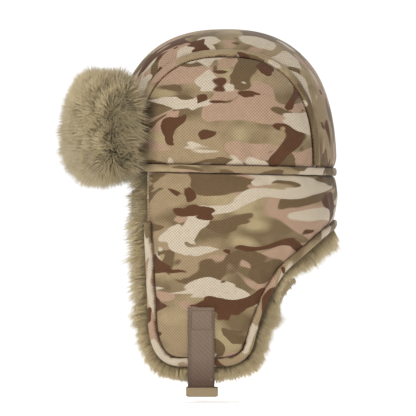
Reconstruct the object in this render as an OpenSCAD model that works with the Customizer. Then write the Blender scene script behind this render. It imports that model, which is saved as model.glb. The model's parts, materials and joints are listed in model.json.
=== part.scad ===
// Trapper hat: padded cloth crown, fur-faced front flap, fur-lined skirt and two ear flaps
// with a webbing chin strap. Z is up, -Y is the front, +X is the wearer's left.
// The origin is the middle of the head opening, at the seam between crown and skirt.

/* [Crown] */
// Outside length of the crown, front to back
crown_long = 221; // [190:1:250]
// Outside width of the crown
crown_wide = 180; // [150:1:210]
// Height of the crown above its seam with the skirt
crown_high = 138; // [110:1:165]
// Width of the gusset that runs over the top, seam to seam
gusset_wide = 112; // [84:1:130]

/* [Cloth] */
// Thickness of the outer cloth
cloth_t = 1.2; // [0.8:0.1:2]
// Thickness of the wadding
wadding_t = 6.5; // [4:0.5:9]
// Thickness of the quilted lining
lining_t = 1.2; // [0.8:0.1:2]
// Clearance between two layers of cloth
layer_gap = 0.3; // [0.2:0.05:0.5]
// Width of a welt over a seam
welt_wide = 9; // [6:0.5:12]
// Thickness of a welt
welt_t = 1.8; // [1:0.1:3]
// Width of the binding on an edge
binding_wide = 8; // [5:0.5:12]
// Height of the sweatband
sweatband_high = 28; // [20:1:40]
// Thickness of the sweatband
sweatband_t = 1.6; // [1:0.1:3]

/* [Skirt] */
// Distance of the skirt's front edge ahead of the crown's middle
skirt_front = 77; // [65:1:85]
// Drop from the crown seam to the front end of the ear flap's fold
cheek_drop = 57; // [45:1:70]
// Drop from the crown seam to the neck edge, at the middle of the back
neck_drop = 60; // [50:1:75]
// Distance of the fold's rear end behind the crown's middle
fold_rear = 60; // [45:1:70]
// Drop from the crown seam to the fold's rear end
fold_drop = 104; // [90:1:115]

/* [Ear flap] */
// Drop from the crown seam to the lowest edge of an ear flap
flap_drop = 198; // [170:1:225]
// How far the flap's front edge lies ahead of the skirt's front edge
flap_ahead = 5; // [0:1:10]
// How far the lowest edge leans in towards the jaw
flap_lean = 10; // [0:1:20]

/* [Fur] */
// Thickness of the fur pile on the inside
pile_t = 13; // [8:1:18]
// How far the fur stands out past a bound edge
fur_out = 14; // [8:1:20]

/* [Front flap] */
// Height of the front flap's cloth
brim_high = 96; // [75:1:110]
// Height of the fold under the front flap, measured down from the crown seam
brim_drop = 14; // [8:1:20]
// Thickness of the fur at the middle of the front
brim_fur = 43; // [25:1:50]
// Thickness of the fur at the flap's two ends
brim_fur_end = 12; // [6:1:25]
// Angle from the middle of the front to each end of the front flap
brim_reach = 49; // [35:1:50]

/* [Chin strap] */
// Width of the webbing
web_wide = 25; // [20:1:30]
// Thickness of the webbing
web_t = 1.5; // [1:0.1:2]
// Drop from the crown seam to the strap's sewn end
strap_drop = 139; // [125:1:160]
// Distance of the strap's middle ahead of the crown's middle
strap_ahead = 23; // [10:1:35]
// Drop from the crown seam to the middle of the buckle
buckle_drop = 223; // [212:1:240]

/* [Buckle] */
// Width of the buckle's socket past each edge of the webbing
socket_side = 3.5; // [3:0.5:6]
// Thickness of the buckle's socket
socket_t = 8.4; // [7.6:0.2:10]
// Clearance between the plug and the socket
buckle_gap = 0.4; // [0.3:0.05:0.6]

/* [Hidden] */

CAMO = [0.67, 0.58, 0.45];
WELT = [0.62, 0.53, 0.40];
FUR = [0.65, 0.59, 0.46];
WOOL = [0.85, 0.83, 0.78];
LINING = [0.42, 0.36, 0.28];
WEBBING = [0.50, 0.40, 0.31];
RESIN = [0.66, 0.58, 0.44];

half_x = crown_wide / 2;
half_y = crown_long / 2;
// Roundness of the arches over the head, of the crown's sides, and of the skirt's sides
ARCH = 2.5;
SIDE = 2.1;
SKIRT = 3.2;
// Share of the half width at which the gusset's seams lie, and the same place on the arch
seam_share = gusset_wide / crown_wide;
seam_rho = pow(1 - pow(seam_share, SIDE), 1 / ARCH);

// Layers, as distances from the outer cloth's face: negative is towards the head
wadding_out = -cloth_t - layer_gap;
wadding_in = wadding_out - wadding_t;
lining_out = wadding_in - layer_gap;
lining_in = lining_out - lining_t;
pile_out = wadding_in - layer_gap;
pile_in = pile_out - pile_t;
sweatband_out = lining_in - layer_gap;
sweatband_in = sweatband_out - sweatband_t;

// Cells along an arch, from an ear to a seam, and across the gusset
ARCH_CELLS = 20;
EAR_CELLS = 6;
TOP_CELLS = 6;
// The part of the arch nearest the ear that is left open under the band welt
EAR_OPEN = 0.02;

fold_slope = (fold_drop - cheek_drop) / (fold_rear + skirt_front);
neck_slope = (fold_drop - neck_drop) / (half_y - fold_rear);
// Half the width of the cut between the skirt and a flap, and the cut through the fur
fold_gap = 0.8;
fur_gap = 1;

// ---- curves and surfaces ----

function spow(base, power) = sign(base) * pow(abs(base), power);
function clamp01(a) = max(0, min(1, a));
function soft(a) = a * a * (3 - 2 * a);
function mix(a, b, f) = a + (b - a) * f;
function bend(a, b, c, f) = mix(mix(a, b, f), mix(b, c, f), f);

// Crown: share of the half width, angle along the arch from the back (0) to the front (180)
function dome(share, phi, grow) =
    let (rho = pow(1 - pow(abs(share), SIDE), 1 / ARCH))
    [(half_x + grow) * share,
     (half_y + grow) * rho * spow(cos(phi), 2 / ARCH),
     (crown_high + grow) * rho * pow(sin(phi), 2 / ARCH)];
function rho_share(rho) = pow(1 - pow(rho, ARCH), 1 / SIDE);

// Shares of the half width from one seam out to the ear, and across the gusset
ear_shares = [for (i = [0:EAR_CELLS]) rho_share(mix(seam_rho, EAR_OPEN, i / EAR_CELLS))];
top_shares = [for (i = [-TOP_CELLS / 2:TOP_CELLS / 2]) 2 * i / TOP_CELLS * seam_share];
arch_angles = [for (j = [0:ARCH_CELLS]) 180 * j / ARCH_CELLS];

// Skirt: angle around the head, 0 at the left ear, 90 at the back, -90 at the front
function side_power(z) = mix(SIDE, SKIRT, soft(clamp01(-z / cheek_drop)));
function ring(turn, z, grow) =
    [(half_x + grow) * spow(cos(turn), 2 / side_power(z)),
     (half_y + grow) * spow(sin(turn), 2 / ARCH), z];
function turn_at(y) = asin(spow(y / half_y, ARCH / 2));
function fold_z(y) = -cheek_drop - fold_slope * (y + skirt_front);
function neck_z(y) = -neck_drop - neck_slope * (half_y - y);
function ring_y(turn, grow) = (half_y + grow) * spow(sin(turn), 2 / ARCH);
// Lower edge of a layer of the skirt: along the folds at the sides, and the neck edge at the back
function skirt_z(turn, grow, trim) =
    let (y = ring_y(turn, 0), fold = fold_z(ring_y(turn, grow)) + fold_gap)
    y < fold_rear ? fold : max(fold, neck_z(y) + trim * binding_wide * clamp01((y - fold_rear) / 12));

// Ear flap: a place seen from the side, brought onto the flap's curved face
function lean(z) = -flap_lean * pow(clamp01((-z - cheek_drop) / (flap_drop - cheek_drop)), 2);
function flap_x(y, z, grow) =
    let (y_held = max(y, -skirt_front - flap_ahead))
    half_x * pow(1 - pow(abs(y_held) / half_y, ARCH), 1 / side_power(z)) + grow + lean(z);
function flap_point(place, grow) = [flap_x(place[0], place[1], grow), place[0], place[1]];

// Outline of an ear flap, grown outwards by a margin: front edge, bottom edge and rear edge
front_bend = 0.62;
rear_bend = 0.66;
function front_edge(f, m) =
    let (y = -skirt_front - flap_ahead - m,
         top = [y, fold_z(y) - fold_gap],
         knee = [y + 5, -flap_drop + 43])
    f < front_bend ? mix(top, knee, f / front_bend)
    : bend(knee, [y + 7, -flap_drop - m], [y + 37 + m, -flap_drop - m], (f - front_bend) / (1 - front_bend));
function rear_edge(f, m) =
    let (y = fold_rear + 1.2 * m,
         top = [y, fold_z(y) - fold_gap],
         knee = [fold_rear - 30 + m, -flap_drop + 26])
    f < rear_bend ? bend(top, [fold_rear - 22 + m, -flap_drop + 62], knee, f / rear_bend)
    : bend(knee, [fold_rear - 34 + m, -flap_drop - m], [fold_rear - 66, -flap_drop - m],
        (f - rear_bend) / (1 - rear_bend));
function flap_patch(u, v, m) =
    let (f0 = front_edge(0, m), f1 = front_edge(1, m), r0 = rear_edge(0, m), r1 = rear_edge(1, m))
    mix(front_edge(v, m), rear_edge(v, m), u)
    + mix(mix(f0, r0, u), mix(f1, r1, u), v) - mix(mix(f0, f1, v), mix(r0, r1, v), u);
function flap_rim(s, m) =
    s <= 1 ? front_edge(s, m) : s < 2 ? mix(front_edge(1, m), rear_edge(1, m), s - 1) : rear_edge(3 - s, m);

// ---- solids ----

// A sheet between two grids of points with the same rows and columns
module sheet(outer, inner) {
    rows = len(outer);
    cols = len(outer[0]);
    points = [for (grid = [outer, inner]) for (row = grid) for (p = row) p];
    function at(side, r, c) = side * rows * cols + r * cols + c;
    function pair(a, b, c, d) = [[a, b, c], [a, c, d]];
    cells = [for (r = [0:rows - 2]) for (c = [0:cols - 2]) each concat(
        pair(at(0, r, c), at(0, r, c + 1), at(0, r + 1, c + 1), at(0, r + 1, c)),
        pair(at(1, r, c), at(1, r + 1, c), at(1, r + 1, c + 1), at(1, r, c + 1)))];
    row_ends = [for (c = [0:cols - 2]) each concat(
        pair(at(0, 0, c), at(1, 0, c), at(1, 0, c + 1), at(0, 0, c + 1)),
        pair(at(0, rows - 1, c), at(0, rows - 1, c + 1), at(1, rows - 1, c + 1), at(1, rows - 1, c)))];
    col_ends = [for (r = [0:rows - 2]) each concat(
        pair(at(0, r, 0), at(0, r + 1, 0), at(1, r + 1, 0), at(1, r, 0)),
        pair(at(0, r, cols - 1), at(1, r, cols - 1), at(1, r + 1, cols - 1), at(0, r + 1, cols - 1)))];
    polyhedron(points, concat(cells, row_ends, col_ends), convexity = 6);
}

module dome_sheet(shares, angles, out, in) {
    sheet([for (s = shares) [for (a = angles) dome(s, a, out)]],
        [for (s = shares) [for (a = angles) dome(s, a, in)]]);
}

// A wall around the head between two heights, each a function of the angle and the layer
module ring_sheet(turns, top, bottom, out, in, rows) {
    function layer(grow) = [for (r = [0:rows]) [for (t = turns)
        ring(t, mix(top(t, grow), bottom(t, grow), r / rows), grow)]];
    sheet(layer(out), layer(in));
}

module right() mirror([1, 0, 0]) children();

// ---- crown ----

// The side panels and their wadding meet the gusset's with a hair of room
seam_room = layer_gap / half_x;
side_shares = [for (i = [0:EAR_CELLS]) ear_shares[i] + (i == 0 ? seam_room : 0)];

module crown_side() dome_sheet(side_shares, arch_angles, 0, -cloth_t);

module crown_side_left() color(CAMO) crown_side();

module crown_side_right() color(CAMO) right() crown_side();

module crown_gusset() color(CAMO) dome_sheet(top_shares, arch_angles, 0, -cloth_t);

all_shares = concat([for (i = [EAR_CELLS:-1:1]) -ear_shares[i]], top_shares, [for (i = [1:EAR_CELLS]) ear_shares[i]]);

module side_wadding() dome_sheet(side_shares, arch_angles, wadding_out, wadding_in);

module side_wadding_left() color(WOOL) side_wadding();

module side_wadding_right() color(WOOL) right() side_wadding();

module top_wadding() color(WOOL) dome_sheet(top_shares, arch_angles, wadding_out, wadding_in);

module crown_lining() color(LINING) dome_sheet(all_shares, arch_angles, lining_out, lining_in);

// The welt's half width, as a share of the arch: the crown falls away at about 45 degrees there
welt_rho = welt_wide / 2 / norm([crown_high, half_x]) * 1.2;
// The welt starts above the band welt
welt_start = asin(pow((welt_wide / 2 + layer_gap) / (crown_high * (seam_rho - welt_rho)), ARCH / 2));

module crown_welt() {
    shares = [for (k = [-1, 0, 1]) rho_share(seam_rho - k * welt_rho)];
    angles = [for (j = [0:ARCH_CELLS]) mix(welt_start, 180 - welt_start, j / ARCH_CELLS)];
    dome_sheet(shares, angles, welt_t + 2 * layer_gap, 2 * layer_gap);
}

module crown_welt_left() color(WELT) crown_welt();

module crown_welt_right() color(WELT) right() crown_welt();

// Bands run once round the head and butt together at the middle of the back
BAND_CELLS = 48;
band_turns = [for (i = [0:BAND_CELLS]) mix(90.15, 449.85, i / BAND_CELLS)];

module band(top, bottom, out, in) {
    ring_sheet(band_turns, function (t, grow) top, function (t, grow) bottom, out, in, 1);
}

module band_welt() color(WELT)
    band(welt_wide / 2, -welt_wide / 2, welt_t + 2 * layer_gap, 2 * layer_gap);

module sweatband() color(LINING)
    band(sweatband_high + layer_gap, layer_gap, sweatband_out - 2, sweatband_in - 2);

// ---- skirt ----

SKIRT_CELLS = 32;
skirt_start = turn_at(-skirt_front);
skirt_turns = [for (i = [0:SKIRT_CELLS]) mix(skirt_start, 180 - skirt_start, i / SKIRT_CELLS)];

module skirt(out, in, trim) {
    ring_sheet(skirt_turns, function (t, grow) -layer_gap, function (t, grow) skirt_z(t, grow, trim),
        out, in, 4);
}

module skirt_cloth() color(CAMO) skirt(0, -cloth_t, 1);

module skirt_wadding() color(WOOL) skirt(wadding_out, wadding_in, 1);

module skirt_fur() color(FUR) skirt(pile_out, pile_in, 0);

// The neck's binding and fur run between the rear ends of the two folds
NECK_CELLS = 24;

module neck_strip(start_y, top, bottom, out, in, rows) {
    start = turn_at(start_y);
    turns = [for (i = [0:NECK_CELLS]) mix(start, 180 - start, i / NECK_CELLS)];
    ring_sheet(turns, function (t, grow) neck_z(ring_y(t, 0)) + top,
        function (t, grow) max(neck_z(ring_y(t, 0)) + bottom, fold_z(ring_y(t, grow)) + fold_gap + fur_gap),
        out, in, rows);
}

module neck_binding() color(WELT)
    neck_strip(fold_rear + 14, binding_wide - 4 * layer_gap, 0, layer_gap, wadding_in, 1);

module neck_fur() color(FUR)
    neck_strip(fold_rear + 10, -2 * layer_gap, -fur_out - 2, -layer_gap, pile_in, 2);

// Fur that stands forward of the skirt's front edge, under the end of the front flap
cheek_top = 20;

module cheek_fur() {
    ahead = [for (k = [0:3]) -skirt_front - flap_ahead + 3 - k * fur_out / 2.6];
    function pile(k, z, out) =
        let (y = ahead[k], thick = 1 - 0.18 * k * k / 3)
        [flap_x(y, z, 0) - (out ? 2 + k : 2 + k + pile_t * thick), y, z];
    levels = [for (r = [0:3]) r / 3];
    sheet([for (f = levels) [for (k = [3:-1:0]) pile(k, mix(-cheek_top, fold_z(ahead[k]) + fur_gap, f), true)]],
        [for (f = levels) [for (k = [3:-1:0]) pile(k, mix(-cheek_top, fold_z(ahead[k]) + fur_gap, f), false)]]);
}

module cheek_fur_left() color(FUR) cheek_fur();

module cheek_fur_right() color(FUR) right() cheek_fur();

// ---- front flap ----

BRIM_CELLS = 16;
brim_turns = [for (i = [0:BRIM_CELLS]) mix(-90 - brim_reach, -90 + brim_reach, i / BRIM_CELLS)];
// The flap's back face clears the band welt
brim_back = welt_t + 2 * layer_gap + 1;
brim_cloth_out = brim_back + cloth_t;
brim_wadding_out = brim_cloth_out + layer_gap + wadding_t / 2;
brim_bottom = -brim_drop + 4;
brim_top = brim_bottom + brim_high;

module brim(out, in) {
    ring_sheet(brim_turns, function (t, grow) brim_top, function (t, grow) brim_bottom, out, in, 2);
}

module front_flap_cloth() color(CAMO) brim(brim_cloth_out, brim_back);

module front_flap_wadding() color(WOOL) brim(brim_wadding_out, brim_cloth_out + layer_gap);

// The fur bulges most at the middle of the front, rounds over its top, bottom and ends,
// and its outer face wraps further round the crown than its back
brim_wrap = 1.17;

module front_flap_fur() {
    back = brim_wadding_out + 4 * layer_gap;
    rows = 10;
    function thick(t, f) =
        let (along = cos((t + 90) / brim_reach * 78), up = 2 * f - 1)
        mix(brim_fur_end, brim_fur, along) * mix(0.3, 1, pow(1 - pow(abs(up), ARCH), 1 / ARCH));
    heights = [for (r = [0:rows]) mix(brim_top + 6, brim_bottom - 6, r / rows)];
    function around(t) = (t + 90) * brim_wrap - 90;
    color(FUR) sheet(
        [for (r = [0:rows]) [for (t = brim_turns) ring(around(t), heights[r], back + thick(t, r / rows))]],
        [for (r = [0:rows]) [for (t = brim_turns) ring(t, heights[r], back)]]);
}

// ---- ear flaps ----

FLAP_CELLS = 9;

module flap_sheet(out, in, margin) {
    steps = [for (i = [0:FLAP_CELLS]) i / FLAP_CELLS];
    sheet([for (v = steps) [for (u = steps) flap_point(flap_patch(u, v, margin), out)]],
        [for (v = steps) [for (u = steps) flap_point(flap_patch(u, v, margin), in)]]);
}

module flap_cloth() flap_sheet(0, -cloth_t, -binding_wide - layer_gap);

module flap_wadding() flap_sheet(wadding_out, wadding_in, -binding_wide - layer_gap);

module flap_binding() {
    steps = [for (i = [0:3 * FLAP_CELLS]) i / FLAP_CELLS];
    margins = [-binding_wide, 0];
    back = wadding_in + 4 * layer_gap;
    sheet([for (m = margins) [for (s = steps) flap_point(flap_rim(s, m), layer_gap)]],
        [for (m = margins) [for (s = steps) flap_point(flap_rim(s, m), back)]]);
}

module flap_fur() flap_sheet(pile_out, pile_in, fur_out);

module left_flap_cloth() color(CAMO) flap_cloth();

module right_flap_cloth() color(CAMO) right() flap_cloth();

module left_flap_wadding() color(WOOL) flap_wadding();

module right_flap_wadding() color(WOOL) right() flap_wadding();

module left_flap_binding() color(WELT) flap_binding();

module right_flap_binding() color(WELT) right() flap_binding();

module left_flap_fur() color(FUR) flap_fur();

module right_flap_fur() color(FUR) right() flap_fur();

// ---- chin strap and buckle ----

// The buckle lies level under the chin, its length along X, its plug towards the right
socket_wide = web_wide + 2 * socket_side;
plug_long = 18;
bar_r = 1.6;
bar_hole = 5;
// Two layers of webbing sewn tight together
sewn_t = 1.9 * web_t;
// The end bar stands outside the bar that the webbing goes round, with a slot between them
end_bar = 3;
end_slot = web_t + sewn_t / 2 + 2 * buckle_gap;
end_long = end_bar + end_slot;
socket_long = 32 + end_long;
socket_x = flap_x(-strap_ahead, -flap_drop, 0) + 1.7 + end_long;
plug_x = socket_x - socket_long - buckle_gap;
// Height of the webbing that runs to the plug, below the buckle's middle
web_drop = 2 + buckle_gap + web_t / 2;

// A ribbon of webbing along a path seen from the front, as a flat outline
module ribbon(path, t) {
    last = len(path) - 1;
    normals = [for (i = [0:last])
        let (d = path[min(i + 1, last)] - path[max(i - 1, 0)]) [-d[1], d[0]] / norm(d)];
    polygon(concat([for (i = [0:last]) path[i] + normals[i] * t / 2],
        [for (i = [last:-1:0]) path[i] - normals[i] * t / 2]));
}

module across(wide) translate([0, -strap_ahead, 0]) rotate([90, 0, 0])
    linear_extrude(height = wide, center = true) children();

// The strap's way down the outside of the flap and over its binding and fur
strap_off = layer_gap * 3 + web_t;
face_path = [for (i = [0:8]) let (z = mix(-strap_drop, -flap_drop - 4, i / 8))
    [flap_x(-strap_ahead, z, 0) + strap_off, z]];

// Doubled webbing, sewn to the flap, with its loop around the socket's inner bar
module left_strap() color(WEBBING) {
    bar = [socket_x - end_long - bar_r, -buckle_drop];
    loop_r = bar_r + buckle_gap + web_t;
    loop = [for (a = [0:-20:-260]) bar + loop_r * [cos(a), sin(a)]];
    across(web_wide) ribbon(concat(face_path, [[loop[0][0], -buckle_drop + 8]], loop), sewn_t);
}

// Single webbing from the right flap, round under the chin and into the plug
module right_strap() color(WEBBING) {
    level = -buckle_drop - web_drop;
    turn_r = 12;
    side = face_path[8][0];
    corner = [for (k = [1:6]) [side - turn_r + turn_r * cos(k * 15), level + turn_r - turn_r * sin(k * 15)]];
    hang = concat([for (p = face_path) [-p[0], p[1]]], [for (p = corner) [-p[0], p[1]]],
        [[plug_x - 3, level]]);
    across(web_wide) ribbon(hang, web_t);
}

module rounded_plate(long, wide, r) {
    hull() for (i = [r, long - r]) for (j = [-1, 1]) translate([-i, j * (wide / 2 - r)]) circle(r = r, $fn = 32);
}

// The two halves of the buckle are drawn with their lengths along -X from their own origins
module at_buckle(x) translate([x, -strap_ahead, -buckle_drop]) children();

finger_in = end_long + 10;
window_in = end_long + 24;
cavity_wide = web_wide - 1;
cavity_t = 4.8;

module buckle_socket() color(RESIN) at_buckle(socket_x) difference() {
    translate([0, 0, -socket_t / 2]) linear_extrude(height = socket_t) rounded_plate(socket_long, socket_wide, 3);
    // slots on both sides of the bar, for the webbing's loop
    for (slot = [[end_long, end_slot], [end_long + 2 * bar_r + bar_hole, bar_hole]])
        translate([-slot[0], -web_wide / 2 - 1, -socket_t]) cube([slot[1], web_wide + 2, 2 * socket_t]);
    // the bar is slimmer than the body
    for (side = [0, 1]) mirror([0, 0, side]) translate([-end_long - 2 * bar_r - 1, -web_wide / 2 - 1, bar_r])
        cube([2 * bar_r + 2, web_wide + 2, socket_t]);
    // cavity for the plug, open at the mouth
    translate([-socket_long - 1, -cavity_wide / 2, -cavity_t / 2]) cube([socket_long + 1 - finger_in, cavity_wide, cavity_t]);
    // side windows, where the arms' ends are pressed
    for (side = [-1, 1]) translate([-window_in, side * socket_wide / 2 - 6, -cavity_t / 2])
        cube([window_in - finger_in - 2, 12, cavity_t]);
}

arm_t = cavity_t - 2 * buckle_gap;
arm_root = socket_wide / 2 - 8;
hinge_r = 1.5;

// Base plate over the webbing, two keeper bars below it, and the guide tongue
module buckle_plug() color(RESIN) at_buckle(plug_x) union() {
    difference() {
        translate([0, 0, -2]) linear_extrude(height = 2 + socket_t / 2) rounded_plate(plug_long, socket_wide - 1, 3);
        for (side = [-1, 1]) translate([1, side * arm_root, -arm_t / 2 - buckle_gap])
            cylinder(r = hinge_r + 1 + buckle_gap, h = arm_t + 2 * buckle_gap, $fn = 32);
    }
    // keeper bars and their posts, around the webbing
    for (i = [2, plug_long - 5]) translate([-i - 3, 0, -web_drop - web_t / 2 - buckle_gap - 1.6]) {
        translate([0, -socket_wide / 2 + 1.5, 0]) cube([3, socket_wide - 3, 1.6]);
        for (side = [-1, 1]) translate([0, side * (web_wide / 2 + 1.4) - 0.9, 0])
            cube([3, 1.8, web_drop + web_t / 2 + buckle_gap + 0.6]);
    }
    translate([-1, -3, -2]) cube([19, 6, 4]);
}

// A springy arm: round root, slim bar, and the head that shows in the socket's window
module plug_arm(side) color(RESIN) at_buckle(plug_x) translate([1, side * arm_root, -arm_t / 2])
    linear_extrude(height = arm_t) scale([1, side]) union() {
        circle(r = hinge_r, $fn = 32);
        translate([0, -1]) square([12, 2]);
        polygon([[9, -1], [17, -1], [18, 1], [17.6, 6], [15, 7], [10, 6.4], [9.4, 1]]);
    }

module plug_arm_front() plug_arm(-1);

module plug_arm_rear() plug_arm(1);

crown_side_left();
crown_side_right();
crown_gusset();
side_wadding_left();
side_wadding_right();
top_wadding();
crown_lining();
crown_welt_left();
crown_welt_right();
band_welt();
sweatband();
skirt_cloth();
skirt_wadding();
skirt_fur();
neck_binding();
neck_fur();
cheek_fur_left();
cheek_fur_right();
front_flap_cloth();
front_flap_wadding();
front_flap_fur();
left_flap_cloth();
left_flap_wadding();
left_flap_binding();
left_flap_fur();
left_strap();
right_flap_cloth();
right_flap_wadding();
right_flap_binding();
right_flap_fur();
right_strap();
buckle_socket();
buckle_plug();
plug_arm_front();
plug_arm_rear();
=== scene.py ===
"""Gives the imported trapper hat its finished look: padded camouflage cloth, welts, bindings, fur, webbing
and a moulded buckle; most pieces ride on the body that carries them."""

import json
import math

import bmesh
import bpy
import numpy as np
from bpy.props import FloatProperty, FloatVectorProperty, IntProperty, PointerProperty
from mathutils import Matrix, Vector, geometry


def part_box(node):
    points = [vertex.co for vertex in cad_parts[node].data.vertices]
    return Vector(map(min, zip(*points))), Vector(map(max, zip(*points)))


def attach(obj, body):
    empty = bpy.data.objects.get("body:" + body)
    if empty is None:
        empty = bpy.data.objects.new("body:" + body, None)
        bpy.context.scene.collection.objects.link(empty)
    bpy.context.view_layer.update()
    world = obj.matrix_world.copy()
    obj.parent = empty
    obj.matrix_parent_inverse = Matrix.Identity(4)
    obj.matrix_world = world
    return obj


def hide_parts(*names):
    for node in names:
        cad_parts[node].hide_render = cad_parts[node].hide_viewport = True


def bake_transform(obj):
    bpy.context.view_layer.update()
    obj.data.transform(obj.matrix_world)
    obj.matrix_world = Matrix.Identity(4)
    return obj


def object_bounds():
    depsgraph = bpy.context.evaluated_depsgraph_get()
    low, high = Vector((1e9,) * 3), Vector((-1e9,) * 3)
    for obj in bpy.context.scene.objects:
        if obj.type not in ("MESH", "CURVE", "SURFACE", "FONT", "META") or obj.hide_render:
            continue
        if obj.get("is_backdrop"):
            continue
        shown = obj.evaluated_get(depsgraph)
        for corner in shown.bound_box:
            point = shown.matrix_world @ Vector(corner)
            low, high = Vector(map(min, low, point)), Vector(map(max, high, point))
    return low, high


bl_info = {
    "name": "Trapper Hat Finish",
    "version": (1, 0, 0),
    "blender": (4, 5, 0),
    "location": "View3D > Sidebar > Trapper Hat",
    "description": "Cloth, fur, webbing and buckle for a trapper hat",
    "category": "Object",
}

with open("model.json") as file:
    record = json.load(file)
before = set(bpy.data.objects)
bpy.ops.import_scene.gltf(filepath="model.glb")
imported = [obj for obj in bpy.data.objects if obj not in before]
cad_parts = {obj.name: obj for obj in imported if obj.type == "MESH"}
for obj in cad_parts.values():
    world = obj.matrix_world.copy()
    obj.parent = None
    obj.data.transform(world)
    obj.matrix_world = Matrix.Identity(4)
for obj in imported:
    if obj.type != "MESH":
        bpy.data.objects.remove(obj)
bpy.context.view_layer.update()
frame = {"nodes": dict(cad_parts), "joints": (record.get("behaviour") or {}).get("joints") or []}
MM = 0.001

# ---- sizes taken from the frame ----

HALF_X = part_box("crown_side_left")[1][0]
HALF_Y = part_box("crown_gusset")[1][1]
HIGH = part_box("crown_gusset")[1][2]
SEAM_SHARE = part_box("crown_gusset")[1][0] / HALF_X
FOLD = next(j for j in frame["joints"] if j["name"] == "left_ear_flap_fold")
FOLD_AT = Vector(FOLD["pos_m"])
FOLD_AXIS = Vector(FOLD["axis"]).normalized()
FOLD_SLOPE = abs(FOLD_AXIS[2] / FOLD_AXIS[1])
SKIRT_FRONT = -FOLD_AT[1]
CHEEK_DROP = -FOLD_AT[2]
FLAP_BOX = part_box("left_flap_binding")
FLAP_DROP = -FLAP_BOX[0][2]
FLAP_AHEAD = -FLAP_BOX[0][1] - SKIRT_FRONT
FOLD_REAR = FLAP_BOX[1][1]
NECK_DROP = -(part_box("neck_fur")[1][2] + 0.6 * MM)
FOLD_DROP = CHEEK_DROP + FOLD_SLOPE * (FOLD_REAR + SKIRT_FRONT)
NECK_SLOPE = (FOLD_DROP - NECK_DROP) / (HALF_Y - FOLD_REAR)
STRAP_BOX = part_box("left_strap")
STRAP_Y = (STRAP_BOX[0][1] + STRAP_BOX[1][1]) / 2
WEB_WIDE = STRAP_BOX[1][1] - STRAP_BOX[0][1]
STRAP_TOP = STRAP_BOX[1][2]

# Roundness of the arches over the head, the crown's sides and the skirt's sides, as in the part
ARCH, SIDE, SKIRT = 2.5, 2.1, 3.2
FLAP_LEAN = 10 * MM
SEAM_RHO = (1 - SEAM_SHARE**SIDE) ** (1 / ARCH)

# Half widths of the welts over the crown's seams, as a share of the crown, and round its base
WELT_HALF = 0.0235
BAND_HALF = 3.7 * MM
BINDING = 8 * MM

# Outer cloth: its thickness, how far it runs in under a welt, its rows of points there, how far it stands
# out from the crown and the skirt, the steps of its simulation, and how deep the wadding lies under it
CLOTH_T = 1.2 * MM
EDGE_IN = 1.3 * MM
EDGE_RINGS = (1.3 * MM, 2.2 * MM, 3.4 * MM, 5.2 * MM)
CROWN_RISE, SKIRT_RISE = 0.9 * MM, 0.7 * MM
SIM_STEPS = 14
WADDING_SINK = 3.2 * MM

# Threads to the metre in the cloths and in the webbing
CLOTH_PITCH, WEBBING_PITCH = 330.0, 520.0

# Front flap: its back and front faces off the head, its height, its reach round the head, and its fur's
# reach and depth at the middle and the ends
BRIM_BACK, BRIM_FRONT = 3.4 * MM, 9.0 * MM
BRIM_LOW, BRIM_TOP = (corner[2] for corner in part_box("front_flap_cloth"))
BRIM_LEVEL, BRIM_HALF = (BRIM_TOP + BRIM_LOW) / 2, (BRIM_TOP - BRIM_LOW) / 2
BRIM_REACH = math.radians(47)
BRIM_FUR_REACH = math.radians(45)
BRIM_FUR_MID, BRIM_FUR_END = 43 * MM, 14 * MM

# Hairs: their radius at the edges and in the lining, and the most that one object holds
HAIR_R, PILE_R = 0.38 * MM, 0.6 * MM
HAIRS_EACH = 12000

# The buckle's bar, from its end inwards, and how far a strap's layer lies from the fold between the two
END_BAR, END_SLOT, BAR_R = 3 * MM, 3.725 * MM, 1.6 * MM
BAR_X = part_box("buckle_socket")[1][0] - END_BAR - END_SLOT - BAR_R
WEB_LIFT = 0.75 * MM

# The materials, made once by ready()
MAT = {}


# ---- the hat's surfaces ----


def spow(base, power):
    """A power that keeps its base's sign."""
    return np.sign(base) * np.abs(base) ** power


def soft(a):
    """An eased step from 0 to 1."""
    a = np.clip(a, 0, 1)
    return a * a * (3 - 2 * a)


def bell(d, wide):
    """A smooth hump: 1 at 0 and next to nothing at twice its width."""
    return np.exp(-((d / wide) ** 2))


def unit(vectors):
    """The same directions, each one long."""
    return vectors / np.maximum(np.linalg.norm(vectors, axis=-1), 1e-12)[..., None]


def run_along(points):
    """The distance walked along a line, at each of its points."""
    return np.concatenate([[0], np.cumsum(np.linalg.norm(np.diff(points, axis=0), axis=1))])


def dome(share, phi, grow=0.0):
    """Crown surface from the share of its half width and the angle along an arch, back to front."""
    share, phi, grow = np.broadcast_arrays(*(np.asarray(v, float) for v in (share, phi, grow)))
    rho = (1 - np.abs(share) ** SIDE) ** (1 / ARCH)
    x = (HALF_X + grow) * share
    y = (HALF_Y + grow) * rho * spow(np.cos(phi), 2 / ARCH)
    z = (HIGH + grow) * rho * np.abs(np.sin(phi)) ** (2 / ARCH)
    return np.stack([x, y, z], -1)


def rho_share(rho):
    return (1 - rho**ARCH) ** (1 / SIDE)


def side_power(z):
    return SIDE + (SKIRT - SIDE) * soft(-z / CHEEK_DROP)


def lean(z):
    return -FLAP_LEAN * np.clip((-z - CHEEK_DROP) / (FLAP_DROP - CHEEK_DROP), 0, 1) ** 2


def wall(turn, z, grow=0.0):
    """Skirt and ear flap surface: turn is 0 at the left ear and a quarter turn at the back."""
    turn, z, grow = np.broadcast_arrays(*(np.asarray(v, float) for v in (turn, z, grow)))
    side = np.sign(np.cos(turn))
    x = (HALF_X + grow) * spow(np.cos(turn), 2 / side_power(z)) + lean(z) * side
    y = (HALF_Y + grow) * spow(np.sin(turn), 2 / ARCH)
    return np.stack([x, y, z], -1)


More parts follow.
